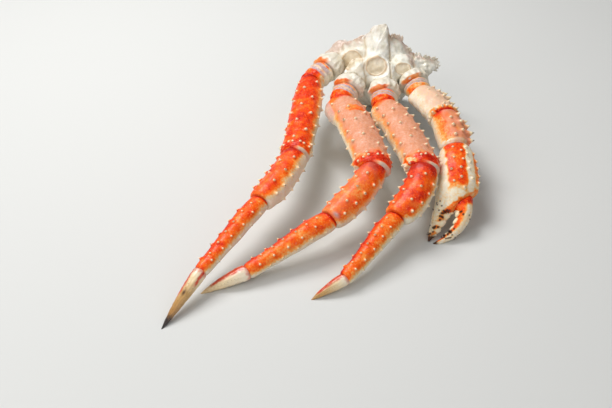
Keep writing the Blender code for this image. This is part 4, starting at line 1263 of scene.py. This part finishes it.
# The hinged finger, red at its hinge and along its biting edge.
finger, _ = finger_piece("claw_finger_shell", MOVING_FINGER, hinged=True)
points, outward, share, turn = read_skin(finger)
biting = smooth_step(0.45, 0.8, facing_to(turn, 75))
hinge = smooth_step(0.16, 0.06, share + ripples(points, 8, 92) * 0.02)
hinge *= 0.3 + 0.7 * smooth_step(20, -30, turn)
points = points + outward * (ripples(points, 13, 91) * 0.25)[:, None]
points, moving_teeth = raise_teeth(points, MOVING_TEETH, palm_seg["side"])
lay_on_floor(finger, points)
finger_outward = normals_of(finger)
finger_keep = (share > 0.22) & (biting < 0.5) & (points[:, 2] > 3)
bite_keep = (biting > 0.6) & (moving_teeth < 0.05) & (share > 0.22) & (points[:, 2] > 5)
pits, finger_pits = bristle_dots(points, 18, seed=7, keep=finger_keep)
bite_pits, bite_spots = bristle_dots(points, 32, seed=9, keep=bite_keep, width=CROWDED_PIT)
dress(finger, crab, CRAB_MARKS, red=0.08 + biting * 0.5 + hinge * 0.75 - moving_teeth, spine=moving_teeth,
      tip=np.max([pits * 0.85, bite_pits * 0.9, smooth_step(0.9, 0.96, share)], axis=0))
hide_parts("claw_finger")
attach(finger, "root")


# The bristles: tufts of short stiff dark hairs of horn that grow from the pits of both fingers and crowd
# along the biting edges beside the teeth. They shine a little, and their black turns brown over 3.3 mm.
HAIR_STATIONS = (0, 0.35, 0.7, 1)
HAIR_SIDES = 5
HAIR_RADIUS = 0.24
TIP_RADIUS = 0.04
HAIRS_IN_TUFT = 6
bristle, place = new_material("stiff dark brown bristle")
tone = noise(bristle, place, scale=300.0, detail=2.0)
finish(bristle, {"Base Color": ramp(bristle, tone, (0.35, "#1C1310"), (0.65, "#4A2F20")), "Roughness": 0.4})


def bristle_tufts(feet, outs, length, seed):
    """Slim curved cones, some to each foot, as points and faces."""
    draw = np.random.default_rng(seed)
    around = np.linspace(0, 2 * math.pi, HAIR_SIDES, endpoint=False)
    points, faces = [], []
    for foot, out in np.repeat(np.stack((feet, outs), axis=1), HAIRS_IN_TUFT, axis=0):
        way = unit(out + draw.normal(size=3) * 0.3)
        side = unit(np.cross(way, draw.normal(size=3)))
        other = np.cross(way, side)
        start = foot + side * draw.uniform(0, 0.6) - way * 0.4
        long = length * draw.uniform(0.7, 1.15)
        first = len(points)
        for t in HAIR_STATIONS:
            middle = start + way * (long * t) + side * (0.25 * long * t * t)
            radius = HAIR_RADIUS + (TIP_RADIUS - HAIR_RADIUS) * t
            for angle in around:
                points.append(middle + (side * math.cos(angle) + other * math.sin(angle)) * radius)
        for low in range(first, len(points) - HAIR_SIDES, HAIR_SIDES):
            for i in range(HAIR_SIDES):
                after = (i + 1) % HAIR_SIDES
                faces.append((low + i, low + after, low + HAIR_SIDES + after, low + HAIR_SIDES + i))
        faces += [tuple(reversed(range(first, first + HAIR_SIDES))),
                  tuple(range(len(points) - HAIR_SIDES, len(points)))]
    return points, faces


tuft_points, tuft_faces = [], []
for feet, outs, spots, length, seed in (
    (palm_points, palm_outward, palm_pits, 1.5, 31), (palm_points, palm_outward, gape_spots, 3.4, 32),
    (points, finger_outward, finger_pits, 1.5, 33), (points, finger_outward, bite_spots, 3.0, 34),
):
    grown, ringed = bristle_tufts(feet[spots], outs[spots], length, seed)
    tuft_faces += [tuple(i + len(tuft_points) for i in face) for face in ringed]
    tuft_points += grown
bristle_mesh = bpy.data.meshes.new("claw_bristles")
bristle_mesh.from_pydata(placed(np.array(tuft_points)).tolist(), [], tuft_faces)
bristles = bpy.data.objects.new("claw_bristles", bristle_mesh)
bpy.context.scene.collection.objects.link(bristles)
bristles.data.materials.append(bristle)
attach(bristles, "root")
